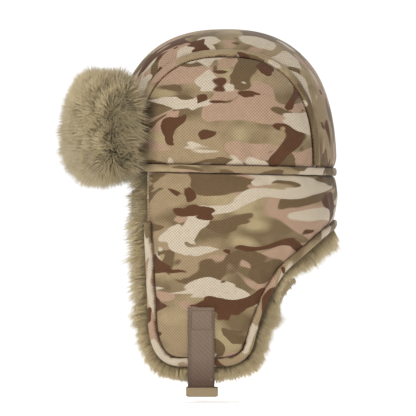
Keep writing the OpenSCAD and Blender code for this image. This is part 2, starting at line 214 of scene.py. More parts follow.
# Length along the wall, from the left ear to the middle of the back, against its turn
_turns = np.linspace(math.radians(-75), math.radians(90), 800)
_walk = wall(_turns, -CHEEK_DROP)
_lengths = run_along(_walk)
_lengths -= np.interp(0, _turns, _lengths)


def turn_of(length):
    return np.interp(length, _lengths, _turns)


def length_of(y):
    return np.interp(np.arcsin(np.clip(spow(np.asarray(y) / HALF_Y, ARCH / 2), -1, 1)), _turns, _lengths)


def fold_z(y):
    return -CHEEK_DROP - FOLD_SLOPE * (y + SKIRT_FRONT)


def neck_z(y):
    return -NECK_DROP - NECK_SLOPE * (HALF_Y - y)


def bend(a, b, c, f):
    a, b, c = (np.array(p, float) for p in (a, b, c))
    return (a + (b - a) * f) * (1 - f) + (b + (c - b) * f) * f


def spread(points, grow):
    """The skirt and ear flap's surface at (length, height) points, carried straight on past its front."""
    found = wall(turn_of(points[..., 0]), points[..., 1], grow)
    found[..., 1] += np.minimum(0, points[..., 0] - _lengths[0])
    return found


def outline(margin=0.0, step=3 * MM):
    """The left half's free edge, as (length, height) points: down the flap's front, round under it,
    up its rear and along the neck to the middle of the back. margin grows it outwards."""
    m = margin
    front = -SKIRT_FRONT - FLAP_AHEAD - m
    low = -FLAP_DROP - m
    knee = (front + 5 * MM, -FLAP_DROP + 43 * MM)
    rear_knee = (FOLD_REAR - 30 * MM + m, -FLAP_DROP + 26 * MM)
    rear_top = (FOLD_REAR + 0.75 * m, fold_z(FOLD_REAR) - 0.6 * m)
    points = [(front, fold_z(front) + 2 * MM)]
    points += [tuple(bend(knee, (front + 7 * MM, low), (front + 37 * MM + m, low), f)) for f in np.linspace(0, 1, 12)]
    points += [
        tuple(bend((FOLD_REAR - 66 * MM, low), (FOLD_REAR - 34 * MM + m, low), rear_knee, f))
        for f in np.linspace(0, 1, 10)
    ]
    points += [
        tuple(bend(rear_knee, (FOLD_REAR - 22 * MM + m, -FLAP_DROP + 62 * MM), rear_top, f))
        for f in np.linspace(0.1, 1, 10)
    ]
    points = [(float(length_of(y)) if y > front + 1e-9 else float(length_of(-SKIRT_FRONT)) + (y + SKIRT_FRONT), z)
              for y, z in points]
    # From the flap's rear edge along the neck's edge
    for y in np.linspace(FOLD_REAR + 12 * MM, HALF_Y * 0.999, 9):
        points.append((float(length_of(y)), float(neck_z(y)) - m))
    points.append((_lengths[-1], -NECK_DROP - m))
    return resample(np.array(points), step)


def resample(points, step, smooth=2):
    """Points at equal steps along a line, with its corners eased."""
    for _ in range(smooth + 1):
        along = run_along(points)
        count = max(3, int(round(along[-1] / step)) + 1)
        at = np.linspace(0, along[-1], count)
        points = np.stack([np.interp(at, along, points[:, k]) for k in range(points.shape[1])], -1)
        inner = (points[:-2] + points[2:]) / 2
        points[1:-1] = points[1:-1] * 0.4 + inner * 0.6
    return points


def left_of(steps):
    """Unit vectors a quarter turn to the left of flat steps."""
    steps = unit(steps)
    return np.stack([-steps[:, 1], steps[:, 0]], -1)


def side_normals(line):
    """Unit vectors across a (length, height) line, pointing to the side that the outline encloses."""
    return left_of(np.gradient(line, axis=0))


def seam_shift(points):
    """Lets the seam between crown and skirt fall a little towards the back."""
    points = np.array(points, float)
    fall = -1.5 * MM - 2.3 * MM * points[..., 1] / HALF_Y
    points[..., 2] += fall * bell(points[..., 2], 26 * MM)
    return points


def edge_profile(d):
    """Height of padded cloth at a distance from the seam that holds it down, and how much shade is painted into the
    seam's groove.
    """
    groove, groove_wide = 1.9 * MM, 1.0 * MM
    slope, slope_wide = 1.6 * MM, 6.5 * MM
    # Width of the shade painted into the groove beside the seam
    painted_shade_wide = 1.4 * MM
    d = np.maximum(d, 0)
    return -groove * bell(d, groove_wide) - slope * bell(d, slope_wide), bell(d, painted_shade_wide)


def ripples(points, d, seed):
    """Small puckers beside a seam, and slow unevenness further away."""
    far = soft(d / (8 * MM))
    puckers = noise3(points, 430, seed) * 0.42 * MM * bell(d, 9 * MM) * far**0.3
    return puckers + noise3(points, 75, seed + 1) * 0.55 * MM * far


def mark(obj, label, values):
    obj.data.attributes.new(label, "FLOAT", "POINT").data.foreach_set("value", np.asarray(values, np.float32).ravel())


# ---- mesh helpers ----


def link(name, data):
    """A new object in the scene for a mesh, a camera or a light."""
    obj = bpy.data.objects.new(name, data)
    bpy.context.scene.collection.objects.link(obj)
    return obj


def shade_smooth(mesh):
    mesh.polygons.foreach_set("use_smooth", [True] * len(mesh.polygons))


def flat_layer(mesh, uv):
    """Stores a map point for each vertex, in the map that the cloth materials read."""
    layer = mesh.uv_layers.new(name="cloth")
    loops = np.empty(len(mesh.loops), np.int32)
    mesh.loops.foreach_get("vertex_index", loops)
    layer.data.foreach_set("uv", np.asarray(uv, np.float32)[loops].ravel())


def new_object(name, verts, faces, mat, uv=None):
    mesh = bpy.data.meshes.new(name)
    mesh.from_pydata([tuple(v) for v in np.asarray(verts, float)], [], [tuple(f) for f in faces])
    mesh.validate()
    if uv is not None:
        flat_layer(mesh, uv)
    shade_smooth(mesh)
    if mat:
        mesh.materials.append(mat)
    return link(name, mesh)


def node_copy(node, name, mat):
    """A new object with a node's own shape and one material."""
    mesh = frame["nodes"][node].data.copy()
    mesh.name = name
    mesh.materials.clear()
    mesh.materials.append(mat)
    return link(name, mesh)


def grid_faces(rows, cols, close_cols=False):
    faces = []
    for r in range(rows - 1):
        for c in range(cols if close_cols else cols - 1):
            a, d = r * cols, (r + 1) * cols
            nxt = (c + 1) % cols
            faces.append((a + c, a + nxt, d + nxt, d + c))
    return faces


def grid_object(name, points, mat, uv=None):
    """An open sheet from rows of points."""
    flat_uv = None if uv is None else uv.reshape(-1, 2)
    return new_object(name, points.reshape(-1, 3), grid_faces(*points.shape[:2]), mat, flat_uv)


def tube(name, line_points, mat, uv=None, painted_shade=None):
    """A closed tube from rings of points, with flat ends."""
    rows, cols = line_points.shape[:2]
    faces = grid_faces(rows, cols, close_cols=True)
    faces.append(tuple(range(cols - 1, -1, -1)))
    faces.append(tuple(range((rows - 1) * cols, rows * cols)))
    flat_uv = None if uv is None else uv.reshape(-1, 2)
    obj = new_object(name, line_points.reshape(-1, 3), faces, mat, flat_uv)
    # Painted shade in the tube's seams and tucks, the same along every ring
    if painted_shade is not None:
        mark(obj, "seam", np.tile(painted_shade, (rows, 1)))
    recalc(obj)
    return obj


def recalc(obj):
    """Turns every face of a closed piece outwards."""
    work = bmesh.new()
    work.from_mesh(obj.data)
    bmesh.ops.recalc_face_normals(work, faces=work.faces)
    work.to_mesh(obj.data)
    work.free()


def settle(obj):
    """Applies every modifier, so that the mesh is final."""
    bpy.context.view_layer.update()
    graph = bpy.context.evaluated_depsgraph_get()
    mesh = bpy.data.meshes.new_from_object(obj.evaluated_get(graph), preserve_all_data_layers=True, depsgraph=graph)
    obj.modifiers.clear()
    obj.vertex_groups.clear()
    old = obj.data
    obj.data = mesh
    mesh.name = obj.name
    bpy.data.meshes.remove(old)
    return obj


def outward(obj):
    """Turns an open sheet's faces away from the middle of the hat."""
    middle = np.array((0, 0, -40 * MM))
    mesh = obj.data
    count = len(mesh.polygons)
    normals, centres = np.empty(count * 3), np.empty(count * 3)
    mesh.polygons.foreach_get("normal", normals)
    mesh.polygons.foreach_get("center", centres)
    away = centres.reshape(-1, 3) - middle
    if (normals.reshape(-1, 3) * away).sum() < 0:
        mesh.flip_normals()
    return obj


def thicken(obj, thickness=CLOTH_T):
    """Gives an open sheet its thickness, towards the head."""
    solid = obj.modifiers.new("thickness", "SOLIDIFY")
    solid.thickness = thickness
    solid.offset = -1
    solid.use_even_offset = False
    return settle(obj)


def smoother(obj):
    sub = obj.modifiers.new("smooth", "SUBSURF")
    sub.levels = sub.render_levels = 1
    return settle(obj)


def coords(obj, what="co"):
    """Each vertex's place, or its normal."""
    found = np.empty(len(obj.data.vertices) * 3)
    obj.data.vertices.foreach_get(what, found)
    return found.reshape(-1, 3)


def set_coords(obj, co):
    obj.data.vertices.foreach_set("co", np.asarray(co, np.float32).ravel())
    obj.data.update()


def mirrored(obj, name):
    """The same piece for the other side of the hat."""
    mesh = obj.data.copy()
    mesh.name = name
    twin = link(name, mesh)
    co = coords(twin)
    co[:, 0] *= -1
    set_coords(twin, co)
    mesh.flip_normals()
    return twin


def noise3(points, scale, seed):
    """Smooth random values from -1 to 1, made of a few waves in seeded directions."""
    rng = np.random.default_rng(seed)
    total = np.zeros(len(points))
    for _ in range(10):
        way = rng.normal(size=3)
        way *= scale * rng.uniform(0.6, 1.6) / np.linalg.norm(way)
        total += np.sin(points @ way + rng.uniform(0, 2 * math.pi))
    return total / 4


def flow_noise(points, scale, seed):
    """A smooth field of vectors, about one long."""
    return np.stack([noise3(points, scale, seed + k) for k in range(3)], -1)


def billow(obj, pinned, pressure, spare, cap):
    """Lets a sheet fill and crumple as sewn cloth does: its pinned points stay, it has spare cloth, and
    pressure lifts it. No point moves further than cap."""
    rest = coords(obj)
    held = obj.vertex_groups.new(name="pinned")
    held.add([int(i) for i in np.nonzero(pinned)[0]], 1.0, "REPLACE")
    cloth = obj.modifiers.new("cloth", "CLOTH")
    wear = cloth.settings
    wear.quality = 6
    wear.mass = 0.15
    wear.tension_stiffness = wear.compression_stiffness = 18
    wear.shear_stiffness = 8
    wear.bending_stiffness = 0.35
    wear.air_damping = 2
    wear.use_pressure = True
    wear.uniform_pressure_force = pressure
    wear.shrink_min = -spare
    wear.vertex_group_mass = "pinned"
    wear.effector_weights.gravity = 0
    cloth.collision_settings.use_collision = False
    cloth.point_cache.frame_start = 1
    cloth.point_cache.frame_end = SIM_STEPS
    scene = bpy.context.scene
    for step in range(1, SIM_STEPS + 1):
        scene.frame_set(step)
    settle(obj)
    moved = coords(obj) - rest
    far = np.linalg.norm(moved, axis=1)
    set_coords(obj, rest + moved * np.minimum(1, cap / np.maximum(far, 1e-9))[:, None])
    scene.frame_set(1)
    return obj


# ---- materials ----


def group(name, inputs, outputs):
    """A new shader node group with float (f), colour (c) or vector (v) sockets, and its two end nodes."""
    tree = bpy.data.node_groups.new(name, "ShaderNodeTree")
    kinds = {"f": "NodeSocketFloat", "c": "NodeSocketColor", "v": "NodeSocketVector"}
    for label, kind, value in inputs:
        made = tree.interface.new_socket(name=label, in_out="INPUT", socket_type=kinds[kind])
        if value is not None:
            made.default_value = value
    for label, kind in outputs:
        tree.interface.new_socket(name=label, in_out="OUTPUT", socket_type=kinds[kind])
    return tree, tree.nodes.new("NodeGroupInput"), tree.nodes.new("NodeGroupOutput")


def put(tree, kind, links=(), **values):
    """Adds a node, sets its properties and sockets, and links (socket, source) pairs into it."""
    node = tree.nodes.new(kind)
    for key, value in values.items():
        if key.startswith("in_"):
            node.inputs[int(key[3:])].default_value = value
        else:
            setattr(node, key, value)
    for socket, source in links:
        tree.links.new(source, node.inputs[socket])
    return node


def ramp(tree, source, stops):
    node = put(tree, "ShaderNodeValToRGB", [("Fac", source)])
    while len(node.color_ramp.elements) < len(stops):
        node.color_ramp.elements.new(0.5)
    for element, (at, value) in zip(node.color_ramp.elements, stops):
        element.position = at
        element.color = (*value, 1)
    return node.outputs["Color"]


def set_sockets(node, values):
    for label, value in values.items():
        node.inputs[label].default_value = value


def feed(tree, socket, value):
    """Sets a socket to a plain number or colour, or links an output into it."""
    if isinstance(value, (int, float, tuple)):
        socket.default_value = value
    else:
        tree.links.new(value, socket)


def attribute(tree, label):
    return put(tree, "ShaderNodeAttribute", attribute_name=label).outputs["Fac"]


def plain(tree, colour):
    node = put(tree, "ShaderNodeRGB")
    node.outputs[0].default_value = (*colour, 1)
    return node.outputs[0]


def overlay(tree, factor, under, colour, blend="MIX"):
    """One plain colour laid over another colour, as far as the factor says."""
    mix = put(tree, "ShaderNodeMix", [("Factor", factor)], data_type="RGBA", blend_type=blend)
    tree.links.new(under, mix.inputs["A"])
    mix.inputs["B"].default_value = (*colour, 1)
    return mix.outputs["Result"]


def mask(tree, vector, scale, detail, low, high, shift, twist, stretch):
    """Patches of a wandering shape: 1 inside and 0 outside, with a narrow edge."""
    moved = put(tree, "ShaderNodeMapping", [("Vector", vector)])
    set_sockets(moved, {"Location": shift, "Scale": stretch})
    spots = put(tree, "ShaderNodeTexNoise", [("Vector", moved.outputs[0])])
    set_sockets(spots, {"Scale": scale, "Detail": detail, "Roughness": 0.42, "Distortion": twist})
    return ramp(tree, spots.outputs["Fac"], [(low, (0, 0, 0)), (high, (1, 1, 1))])


def srgb(r, g, b):
    """A colour given as it looks on a screen, from 0 to 255."""
    lin = []
    for c in (r, g, b):
        c /= 255
        lin.append(c / 12.92 if c <= 0.04045 else ((c + 0.055) / 1.055) ** 2.4)
    return tuple(lin)


def tint(name, description, colour):
    """A colour setting, given as it looks on a screen, from 0 to 255."""
    return FloatVectorProperty(name=name, description=description, default=srgb(*colour), size=3, subtype="COLOR",
                               min=0, max=1)


def camo_group(look):
    """A plain desert camouflage: soft clouds of tan and khaki under firm-edged patches of earth colours."""
    tree, start, end = group("Arid camouflage", [("Vector", "v", None)], [("Color", "c")])
    colour = plain(tree, look.cloth_base)
    layers = [
        # tone, scale, detail, edge from, edge to, place, twist, stretch
        (look.cloth_khaki, 20, 2.0, 0.46, 0.60, (3.1, 0.4, 0), 0.2, (0.8, 1.25, 1)),
        (look.cloth_sand, 22, 2.0, 0.53, 0.66, (6.6, 1.9, 0), 0.2, (0.8, 1.25, 1)),
        (look.cloth_clay, 20, 1.6, 0.548, 0.560, (0.3, 7.7, 0), 0.7, (0.62, 1.3, 1)),
        (look.cloth_olive, 25, 1.7, 0.578, 0.592, (5.5, 5.1, 0), 0.9, (0.66, 1.3, 1)),
        (look.cloth_cream, 22, 2.0, 0.580, 0.590, (1.3, 5.9, 0), 0.9, (0.62, 1.35, 1)),
        (look.cloth_brown, 27, 1.7, 0.618, 0.627, (6.3, 3.0, 0), 0.9, (0.74, 1.25, 1)),
    ]
    for tone, *shape in layers:
        colour = overlay(tree, mask(tree, start.outputs["Vector"], *shape), colour, tone)
    tree.links.new(colour, end.inputs["Color"])
    return tree


def math_node(tree, operation, *values):
    node = put(tree, "ShaderNodeMath", operation=operation)
    for socket, value in zip(node.inputs, values):
        feed(tree, socket, value)
    return node.outputs[0]


def weave_group():
    """A fine twill: two sets of slanted threads that cross. Pitch is in threads to the metre."""
    tree, start, end = group(
        "Twill weave", [("Vector", "v", None), ("Pitch", "f", 450.0), ("Slant", "f", 1.0)], [("Height", "f")]
    )
    split = put(tree, "ShaderNodeSeparateXYZ", [("Vector", start.outputs["Vector"])])
    u, v = (math_node(tree, "MULTIPLY", split.outputs[k], start.outputs["Pitch"]) for k in range(2))
    slanted = math_node(tree, "MULTIPLY", math_node(tree, "SUBTRACT", u, v), start.outputs["Slant"])
    one, two = (math_node(tree, "SINE", math_node(tree, "MULTIPLY", threads, 2 * math.pi))
                for threads in (math_node(tree, "ADD", u, v), slanted))
    both = math_node(tree, "ADD", one, two)
    tree.links.new(math_node(tree, "MULTIPLY_ADD", both, 0.25, 0.5), end.inputs["Height"])
    return tree


def shaded_group():
    """Darkens a colour between its threads, paints shade into its seams' grooves, and varies it a little by a slow
    noise.
    """
    tree, start, end = group(
        "Cloth tone",
        [("Color", "c", None), ("Height", "f", 0.5), ("Vector", "v", None), ("Depth", "f", 0.2), ("Seam", "f", 0.0)],
        [("Color", "c")],
    )
    slow = put(tree, "ShaderNodeTexNoise", [("Vector", start.outputs["Vector"])])
    set_sockets(slow, {"Scale": 260, "Detail": 3})
    low = math_node(tree, "SUBTRACT", start.outputs["Height"], 0.5)
    grain = math_node(tree, "MULTIPLY", low, start.outputs["Depth"])
    fine = math_node(tree, "MULTIPLY", math_node(tree, "SUBTRACT", slow.outputs["Fac"], 0.5), 0.3)
    value = math_node(tree, "ADD", math_node(tree, "ADD", grain, fine), 1.0)
    hsv = put(tree, "ShaderNodeHueSaturation", [("Color", start.outputs["Color"]), ("Value", value)])
    # Painted shade: a brown multiply over the seams' grooves, as far as the seam attribute says
    seam = overlay(tree, start.outputs["Seam"], hsv.outputs["Color"], (0.46, 0.33, 0.24), "MULTIPLY")
    tree.links.new(seam, end.inputs["Color"])
    return tree


def use(tree, source_group, **links):
    node = tree.nodes.new("ShaderNodeGroup")
    node.node_tree = source_group
    for key, value in links.items():
        feed(tree, node.inputs[key], value)
    return node


def material(name):
    made = bpy.data.materials.new(name)
    made.use_nodes = True
    tree = made.node_tree
    return made, tree, tree.nodes["Principled BSDF"]


def bump(tree, shader, height, strength, distance):
    node = put(tree, "ShaderNodeBump", [("Height", height)])
    set_sockets(node, {"Strength": strength, "Distance": distance})
    tree.links.new(node.outputs["Normal"], shader.inputs["Normal"])


def flat_map(tree):
    return put(tree, "ShaderNodeUVMap", uv_map="cloth").outputs["UV"]


def toned(tree, shader, groups, colour, weave, uv, depth):
    """Feeds the base colour: the given one, darker between the threads and with shade painted into the seams."""
    tone = use(tree, groups["tone"], Color=colour, Height=weave, Vector=uv, Depth=depth,
               Seam=attribute(tree, "seam"))
    tree.links.new(tone.outputs["Color"], shader.inputs["Base Color"])


def cloth_material(name, groups, colour=None, depth=0.3):
    """Woven cloth with its twill and a soft sheen, in one colour, or in camouflage if none is given."""
    made, tree, shader = material(name)
    uv = flat_map(tree)
    weave = use(tree, groups["weave"], Vector=uv, Pitch=CLOTH_PITCH).outputs["Height"]
    if colour is None:
        colour = use(tree, groups["camo"], Vector=uv).outputs["Color"]
    else:
        colour = plain(tree, colour)
    toned(tree, shader, groups, colour, weave, uv, depth)
    set_sockets(shader, {"Roughness": 0.8, "Sheen Weight": 0.15, "Sheen Roughness": 0.5,
                         "Specular IOR Level": 0.25})
    bump(tree, shader, weave, 0.55, 0.5 * MM)
    return made


def scaled(colour, gain):
    return tuple(min(1.0, c * gain) for c in colour)


def fur_material(name, root, body, tip):
    """Hair that is darker where it grows, and pale at its ends; each lock has its own tone, and on the edge fur that
    tone also carries painted shade by the cheeks.
    """
    made, tree, shader = material(name)
    shade = ramp(tree, attribute(tree, "along"), [(0.0, root), (0.45, body), (1.0, tip)])
    value = math_node(tree, "MULTIPLY_ADD", attribute(tree, "lock"), 0.36, 0.82)
    hsv = put(tree, "ShaderNodeHueSaturation", [("Color", shade), ("Value", value)])
    tree.links.new(hsv.outputs["Color"], shader.inputs["Base Color"])
    set_sockets(shader, {"Roughness": 0.6, "Specular IOR Level": 0.2, "Sheen Weight": 0.15})
    return made


def webbing_material(groups, look):
    """Ribbed webbing in warm taupe, with shade painted in as it runs down towards the buckle."""
    made, tree, shader = material("strap webbing")
    uv = flat_map(tree)
    split = put(tree, "ShaderNodeSeparateXYZ", [("Vector", uv)])
    weave = use(tree, groups["weave"], Vector=uv, Pitch=WEBBING_PITCH, Slant=0.4).outputs["Height"]
    # Painted shade: the webbing darkens along its run, down towards the buckle
    down = math_node(tree, "MULTIPLY", split.outputs[1], 10.0)
    fall = ramp(tree, down, [(0.0, look.strap), (0.5, scaled(look.strap, 0.86)), (0.75, look.strap_painted_shade)])
    toned(tree, shader, groups, fall, weave, uv, 0.4)
    set_sockets(shader, {"Roughness": 0.7, "Sheen Weight": 0.15})
    bump(tree, shader, weave, 0.8, 0.5 * MM)
    return made


def resin_material(look):
    """Moulded plastic with a fine grain in its tone, gloss and surface."""
    made, tree, shader = material("buckle resin")
    place = put(tree, "ShaderNodeTexCoord").outputs["Object"]
    noise = put(tree, "ShaderNodeTexNoise", [("Vector", place)])
    set_sockets(noise, {"Scale": 900, "Detail": 4})
    grain = noise.outputs["Fac"]
    tone = ramp(tree, grain, [(0.3, look.buckle), (0.7, scaled(look.buckle, 1.25))])
    tree.links.new(tone, shader.inputs["Base Color"])
    tree.links.new(math_node(tree, "MULTIPLY_ADD", grain, 0.2, 0.4), shader.inputs["Roughness"])
    bump(tree, shader, grain, 0.3, 0.1 * MM)
    return made


def make_materials(look):
    groups = {"camo": camo_group(look), "weave": weave_group(), "tone": shaded_group()}
    tones = (look.fur_root, look.fur_body, look.fur_tip)
    return {
        "camo": cloth_material("camouflage cloth", groups, depth=0.58),
        "welt": cloth_material("camouflage welt cloth", groups, depth=0.45),
        "lining": cloth_material("quilted lining", groups, look.lining),
        "band": cloth_material("sweatband knit", groups, look.sweatband, depth=0.4),
        "wadding": cloth_material("polyester wadding", groups, look.wadding, depth=0.1),
        "thread": cloth_material("sewing thread", groups, look.thread, depth=0.1),
        "fur": fur_material("khaki fur", *tones),
        "edge_fur": fur_material("pale khaki fur", *map(scaled, tones, (1.5, 1.22, 1.15))),
        "webbing": webbing_material(groups, look),
        "resin": resin_material(look),
    }


def ready(context):
    """Makes the materials from the scene's colours, once."""
    if not MAT:
        MAT.update(make_materials(context.scene.hat_finish))


# ---- cloth ----


def within(points, loop):
    """Which points lie inside a closed loop."""
    odd = np.zeros(len(points), bool)
    for a, b in zip(loop, np.roll(loop, -1, axis=0)):
        if a[1] != b[1]:
            crosses = (a[1] > points[:, 1]) != (b[1] > points[:, 1])
            odd ^= crosses & (points[:, 0] < a[0] + (points[:, 1] - a[1]) * (b[0] - a[0]) / (b[1] - a[1]))
    return odd


def near_loop(points, loop):
    """Distance of each point from a closed loop."""
    near = np.full(len(points), 1e9)
    for a, b in zip(loop, np.roll(loop, -1, axis=0)):
        d = b - a
        t = np.clip(((points - a) @ d) / max(d @ d, 1e-12), 0, 1)
        near = np.minimum(near, np.linalg.norm(points - a - t[:, None] * d, axis=1))
    return near


def inside_points(loop, step, clear):
    """Evenly spread points inside a closed loop, staggered row by row, and clear of its edge."""
    low, high = loop.min(0), loop.max(0)
    rows = np.arange(low[1] + step * 0.4, high[1], step * 0.866)
    found = np.array([(a, b) for i, b in enumerate(rows)
                      for a in np.arange(low[0] + (i % 2) * step / 2, high[0], step)])
    found = found[within(found, loop)]
    return found[near_loop(found, loop) > clear]


def fill(loop, step):
    """Triangles that fill a closed loop of flat points, with extra rows of points along its edge."""
    nxt = np.roll(loop, -1, axis=0)
    inward = left_of(nxt - np.roll(loop, 1, axis=0))
    if (loop[:, 0] * nxt[:, 1] - nxt[:, 0] * loop[:, 1]).sum() < 0:
        inward = -inward
    rows = [loop]
    for d in EDGE_RINGS:
        row = loop + inward * d
        rows.append(row[near_loop(row, loop) > 0.93 * d])
    rows.append(inside_points(loop, step, EDGE_RINGS[-1] + 0.45 * step))
    points = [Vector((float(p[0]) / MM, float(p[1]) / MM)) for p in np.vstack(rows)]
    edges = [(i, (i + 1) % len(loop)) for i in range(len(loop))]
    found = geometry.delaunay_2d_cdt(points, edges, [], 1, 1e-4)
    return np.array([tuple(p) for p in found[0]]) * MM, [tuple(f) for f in found[2]]


def ellipsoid_normals(points):
    return unit(points / np.array([HALF_X, HALF_Y, HIGH]) ** 2)


def sewn_sheet(obj, painted_shade, pinned, pressure, spare, cap):
    """Finishes an open sheet of cloth: the shade painted into its seams is stored, then it fills out and gets its
    thickness.
    """
    mark(outward(obj), "seam", painted_shade)
    billow(obj, pinned, pressure, spare, cap)
    return thicken(smoother(obj))


def side_panel():
    """The D-shaped panel on the left of the crown."""
    rho = SEAM_RHO - WELT_HALF + 0.010
    arch = np.linspace(0, math.pi, 90)
    loop = np.stack([HALF_Y * rho * spow(np.cos(arch), 2 / ARCH), HIGH * rho * np.abs(np.sin(arch)) ** (2 / ARCH)], -1)
    low = BAND_HALF - EDGE_IN
    loop[:, 1] = low + loop[:, 1] * (1 - low / loop[:, 1].max())
    loop = resample(loop, 3.0 * MM, 0)
    base = np.stack([np.linspace(loop[-1, 0], loop[0, 0], 64)[1:-1], np.full(62, low)], -1)
    loop = np.vstack([loop, base])
    flat, faces = fill(loop, 3.4 * MM)
    near = near_loop(flat, loop)
    rho_at = np.clip(((np.abs(flat[:, 0]) / HALF_Y) ** ARCH + (flat[:, 1] / HIGH) ** ARCH) ** (1 / ARCH), 0, 0.999)
    verts = np.stack([HALF_X * rho_share(rho_at), flat[:, 0], flat[:, 1]], -1)
    # The groove's depth and the shade painted into it, by the distance from the seam
    drop, painted_shade = edge_profile(near - EDGE_IN)
    grow = CROWN_RISE + drop + ripples(verts, near - EDGE_IN, 3)
    verts = seam_shift(verts + ellipsoid_normals(verts) * grow[:, None])
    obj = new_object("crown_side_left_cloth", verts, faces, MAT["camo"], flat)
    return sewn_sheet(obj, painted_shade, near < 2.5 * MM, 1.2, 0.02, 2.5 * MM)


def gusset_panel():
    """The band of cloth over the top, from the front to the back."""
    end = float(rho_share(SEAM_RHO + WELT_HALF - 0.010))
    slope = 1.3 * HALF_X
    fine = np.array([0, *EDGE_RINGS]) / slope
    middle = np.linspace(-end + fine[-1] + 3 * MM / slope, end - fine[-1] - 3 * MM / slope, 31)
    shares = np.concatenate([-end + fine, middle, (end - fine)[::-1]])
    low = math.asin(((BAND_HALF - EDGE_IN) / HIGH) ** (ARCH / 2))
    arch = np.linspace(low, math.pi - low, 121)
    grid_share, grid_phi = np.meshgrid(shares, arch)
    points = dome(grid_share, grid_phi)
    columns = len(shares)
    run = run_along(points[:, columns // 2])
    uv = np.stack([np.repeat(run[:, None], columns, 1) * -1 + 0.1, grid_share * HALF_X * 1.15 + 0.3], -1)
    edge = (end - np.abs(grid_share)) * slope - EDGE_IN
    edge = np.minimum(edge, np.minimum(run, run[-1] - run)[:, None] - EDGE_IN)
    # The groove's depth and the shade painted into it, by the distance from the seam
    drop, painted_shade = edge_profile(edge)
    flat_points = points.reshape(-1, 3)
    rough = ripples(flat_points, edge.ravel(), 8).reshape(edge.shape)
    points = seam_shift(points + ellipsoid_normals(points) * (CROWN_RISE + drop + rough)[..., None])
    obj = grid_object("crown_gusset_cloth", points, MAT["camo"], uv)
    return sewn_sheet(obj, painted_shade, (edge < 1.2 * MM).ravel(), 1.0, 0.015, 0.9 * MM)


def skirt_half():
    """Cloth of the left side and half of the back, in one piece with the left ear flap."""
    edge = outline(-BINDING + EDGE_IN)
    front_turn = float(length_of(-SKIRT_FRONT))
    top = np.stack([np.linspace(_lengths[-1], front_turn, 70), np.full(70, -BAND_HALF + EDGE_IN)], -1)
    front = np.stack([np.full(16, front_turn), np.linspace(-5 * MM, -CHEEK_DROP + 4 * MM, 16)], -1)
    loop = np.vstack([top, front, edge])
    keep = np.concatenate([[True], np.linalg.norm(np.diff(loop, axis=0), axis=1) > 0.8 * MM])
    loop = loop[keep]
    flat, faces = fill(loop, 3.6 * MM)
    near = near_loop(flat, loop)
    # The groove's depth and the shade painted into it, by the distance from the seam
    drop, painted_shade = edge_profile(near - EDGE_IN)
    at_front = 1 - soft((flat[:, 0] - front_turn - 1 * MM) / (4 * MM))
    # At the front edge the groove is shallower and less shade is painted
    drop, painted_shade = drop * (1 - 0.45 * at_front), painted_shade * (1 - 0.75 * at_front)
    grow = SKIRT_RISE + drop + ripples(np.c_[flat, flat[:, :1] * 0], near - EDGE_IN, 12)
    # Soft creases that fall from the band behind the cheek: how they slant, and how many fit in a length
    slant, rate = 0.55, 300
    crease = np.sin((flat[:, 0] * slant + flat[:, 1]) * rate) * bell(flat[:, 1] + 16 * MM, 13 * MM)
    grow += 0.8 * MM * crease * bell(flat[:, 0] - front_turn - 26 * MM, 26 * MM)
    verts = seam_shift(wall(turn_of(flat[:, 0]), flat[:, 1], grow))
    verts[:, 1] += np.minimum(0, flat[:, 0] - _lengths[0])
    obj = new_object("skirt_left_cloth", verts, faces, MAT["camo"], flat + np.array([0.9, 0.6]))
    return sewn_sheet(obj, painted_shade, near < 2.5 * MM, 1.0, 0.02, 2.6 * MM)


def front_facing():
    """Cloth turned in over the skirt's front edge, down to the fold."""
    tuck, bulge = 9 * MM, 3.0 * MM
    rows = np.linspace(-3 * MM, -CHEEK_DROP - 2 * MM, 20)
    grid = []
    for z in rows:
        turn = turn_of(float(length_of(-SKIRT_FRONT)))
        ring = []
        for f in np.linspace(0, 1, 7):
            point = wall(turn, z, -0.9 * MM - tuck * f)
            point[1] -= bulge * math.sin(math.pi * f) ** 0.5
            ring.append(point)
        grid.append(ring)
    uv = np.stack(np.meshgrid(np.linspace(0, 0.01, 7), rows), -1)
    return thicken(grid_object("left_front_facing", seam_shift(np.array(grid)), MAT["camo"], uv), 0.8 * MM)


# Cross-section of a flat sewn strip: (across, up), in shares of its half width and in millimetres, and the painted
# shade at each of these points, deepest where the strip tucks under at its edges
WELT_SECTION = [(-1.0, -2.6), (-1.03, -0.6), (-1.0, 0.5), (-0.86, 1.3), (-0.5, 1.75), (0, 1.9), (0.5, 1.75),
                (0.86, 1.3), (1.0, 0.5), (1.03, -0.6), (1.0, -2.6)]
WELT_PAINTED_SHADE = [1, 0.8, 0.25, 0, 0, 0, 0, 0, 0.25, 0.8, 1]


def quarter_round(share):
    """Height of a quarter circle, from 0 to 1, at a share of its width."""
    return math.sqrt(1 - (1 - min(1.0, share)) ** 2)


def brim_leaf():
    """The front flap's cloth leaf, closed around its wadding, with round corners."""
    rounding, corner = 3 * MM, 22 * MM
    half_thick, middle = (BRIM_FRONT - BRIM_BACK) / 2, (BRIM_BACK + BRIM_FRONT) / 2
    section = [(spow(math.cos(a), 0.16), spow(math.sin(a), 0.5) * half_thick)
               for a in np.linspace(0, 2 * math.pi, 56, endpoint=False)]
    rings, uvs = [], []
    for t in BRIM_REACH * np.sin(np.linspace(-math.pi / 2, math.pi / 2, 80)):
        away = (BRIM_REACH - abs(t)) * HALF_Y
        scale = max(0.12, quarter_round(away / rounding))
        cut = corner * (1 - quarter_round(away / corner))
        ring, row = [], []
        for h, g in section:
            h *= BRIM_HALF - cut - rounding * (1 - scale)
            ring.append(wall(-math.pi / 2 + t, BRIM_LEVEL + h, middle + g * scale))
            row.append((0.2 + t * HALF_Y, 1.3 + h + (0.02 if g > 0 else 0)))
        rings.append(ring)
        uvs.append(row)
    obj = tube("front_flap_leaf", np.array(rings), MAT["camo"], np.array(uvs))
    co = coords(obj)
    set_coords(obj, co + coords(obj, "normal") * (noise3(co, 140, 31) * 0.3 * MM)[:, None])
    return obj


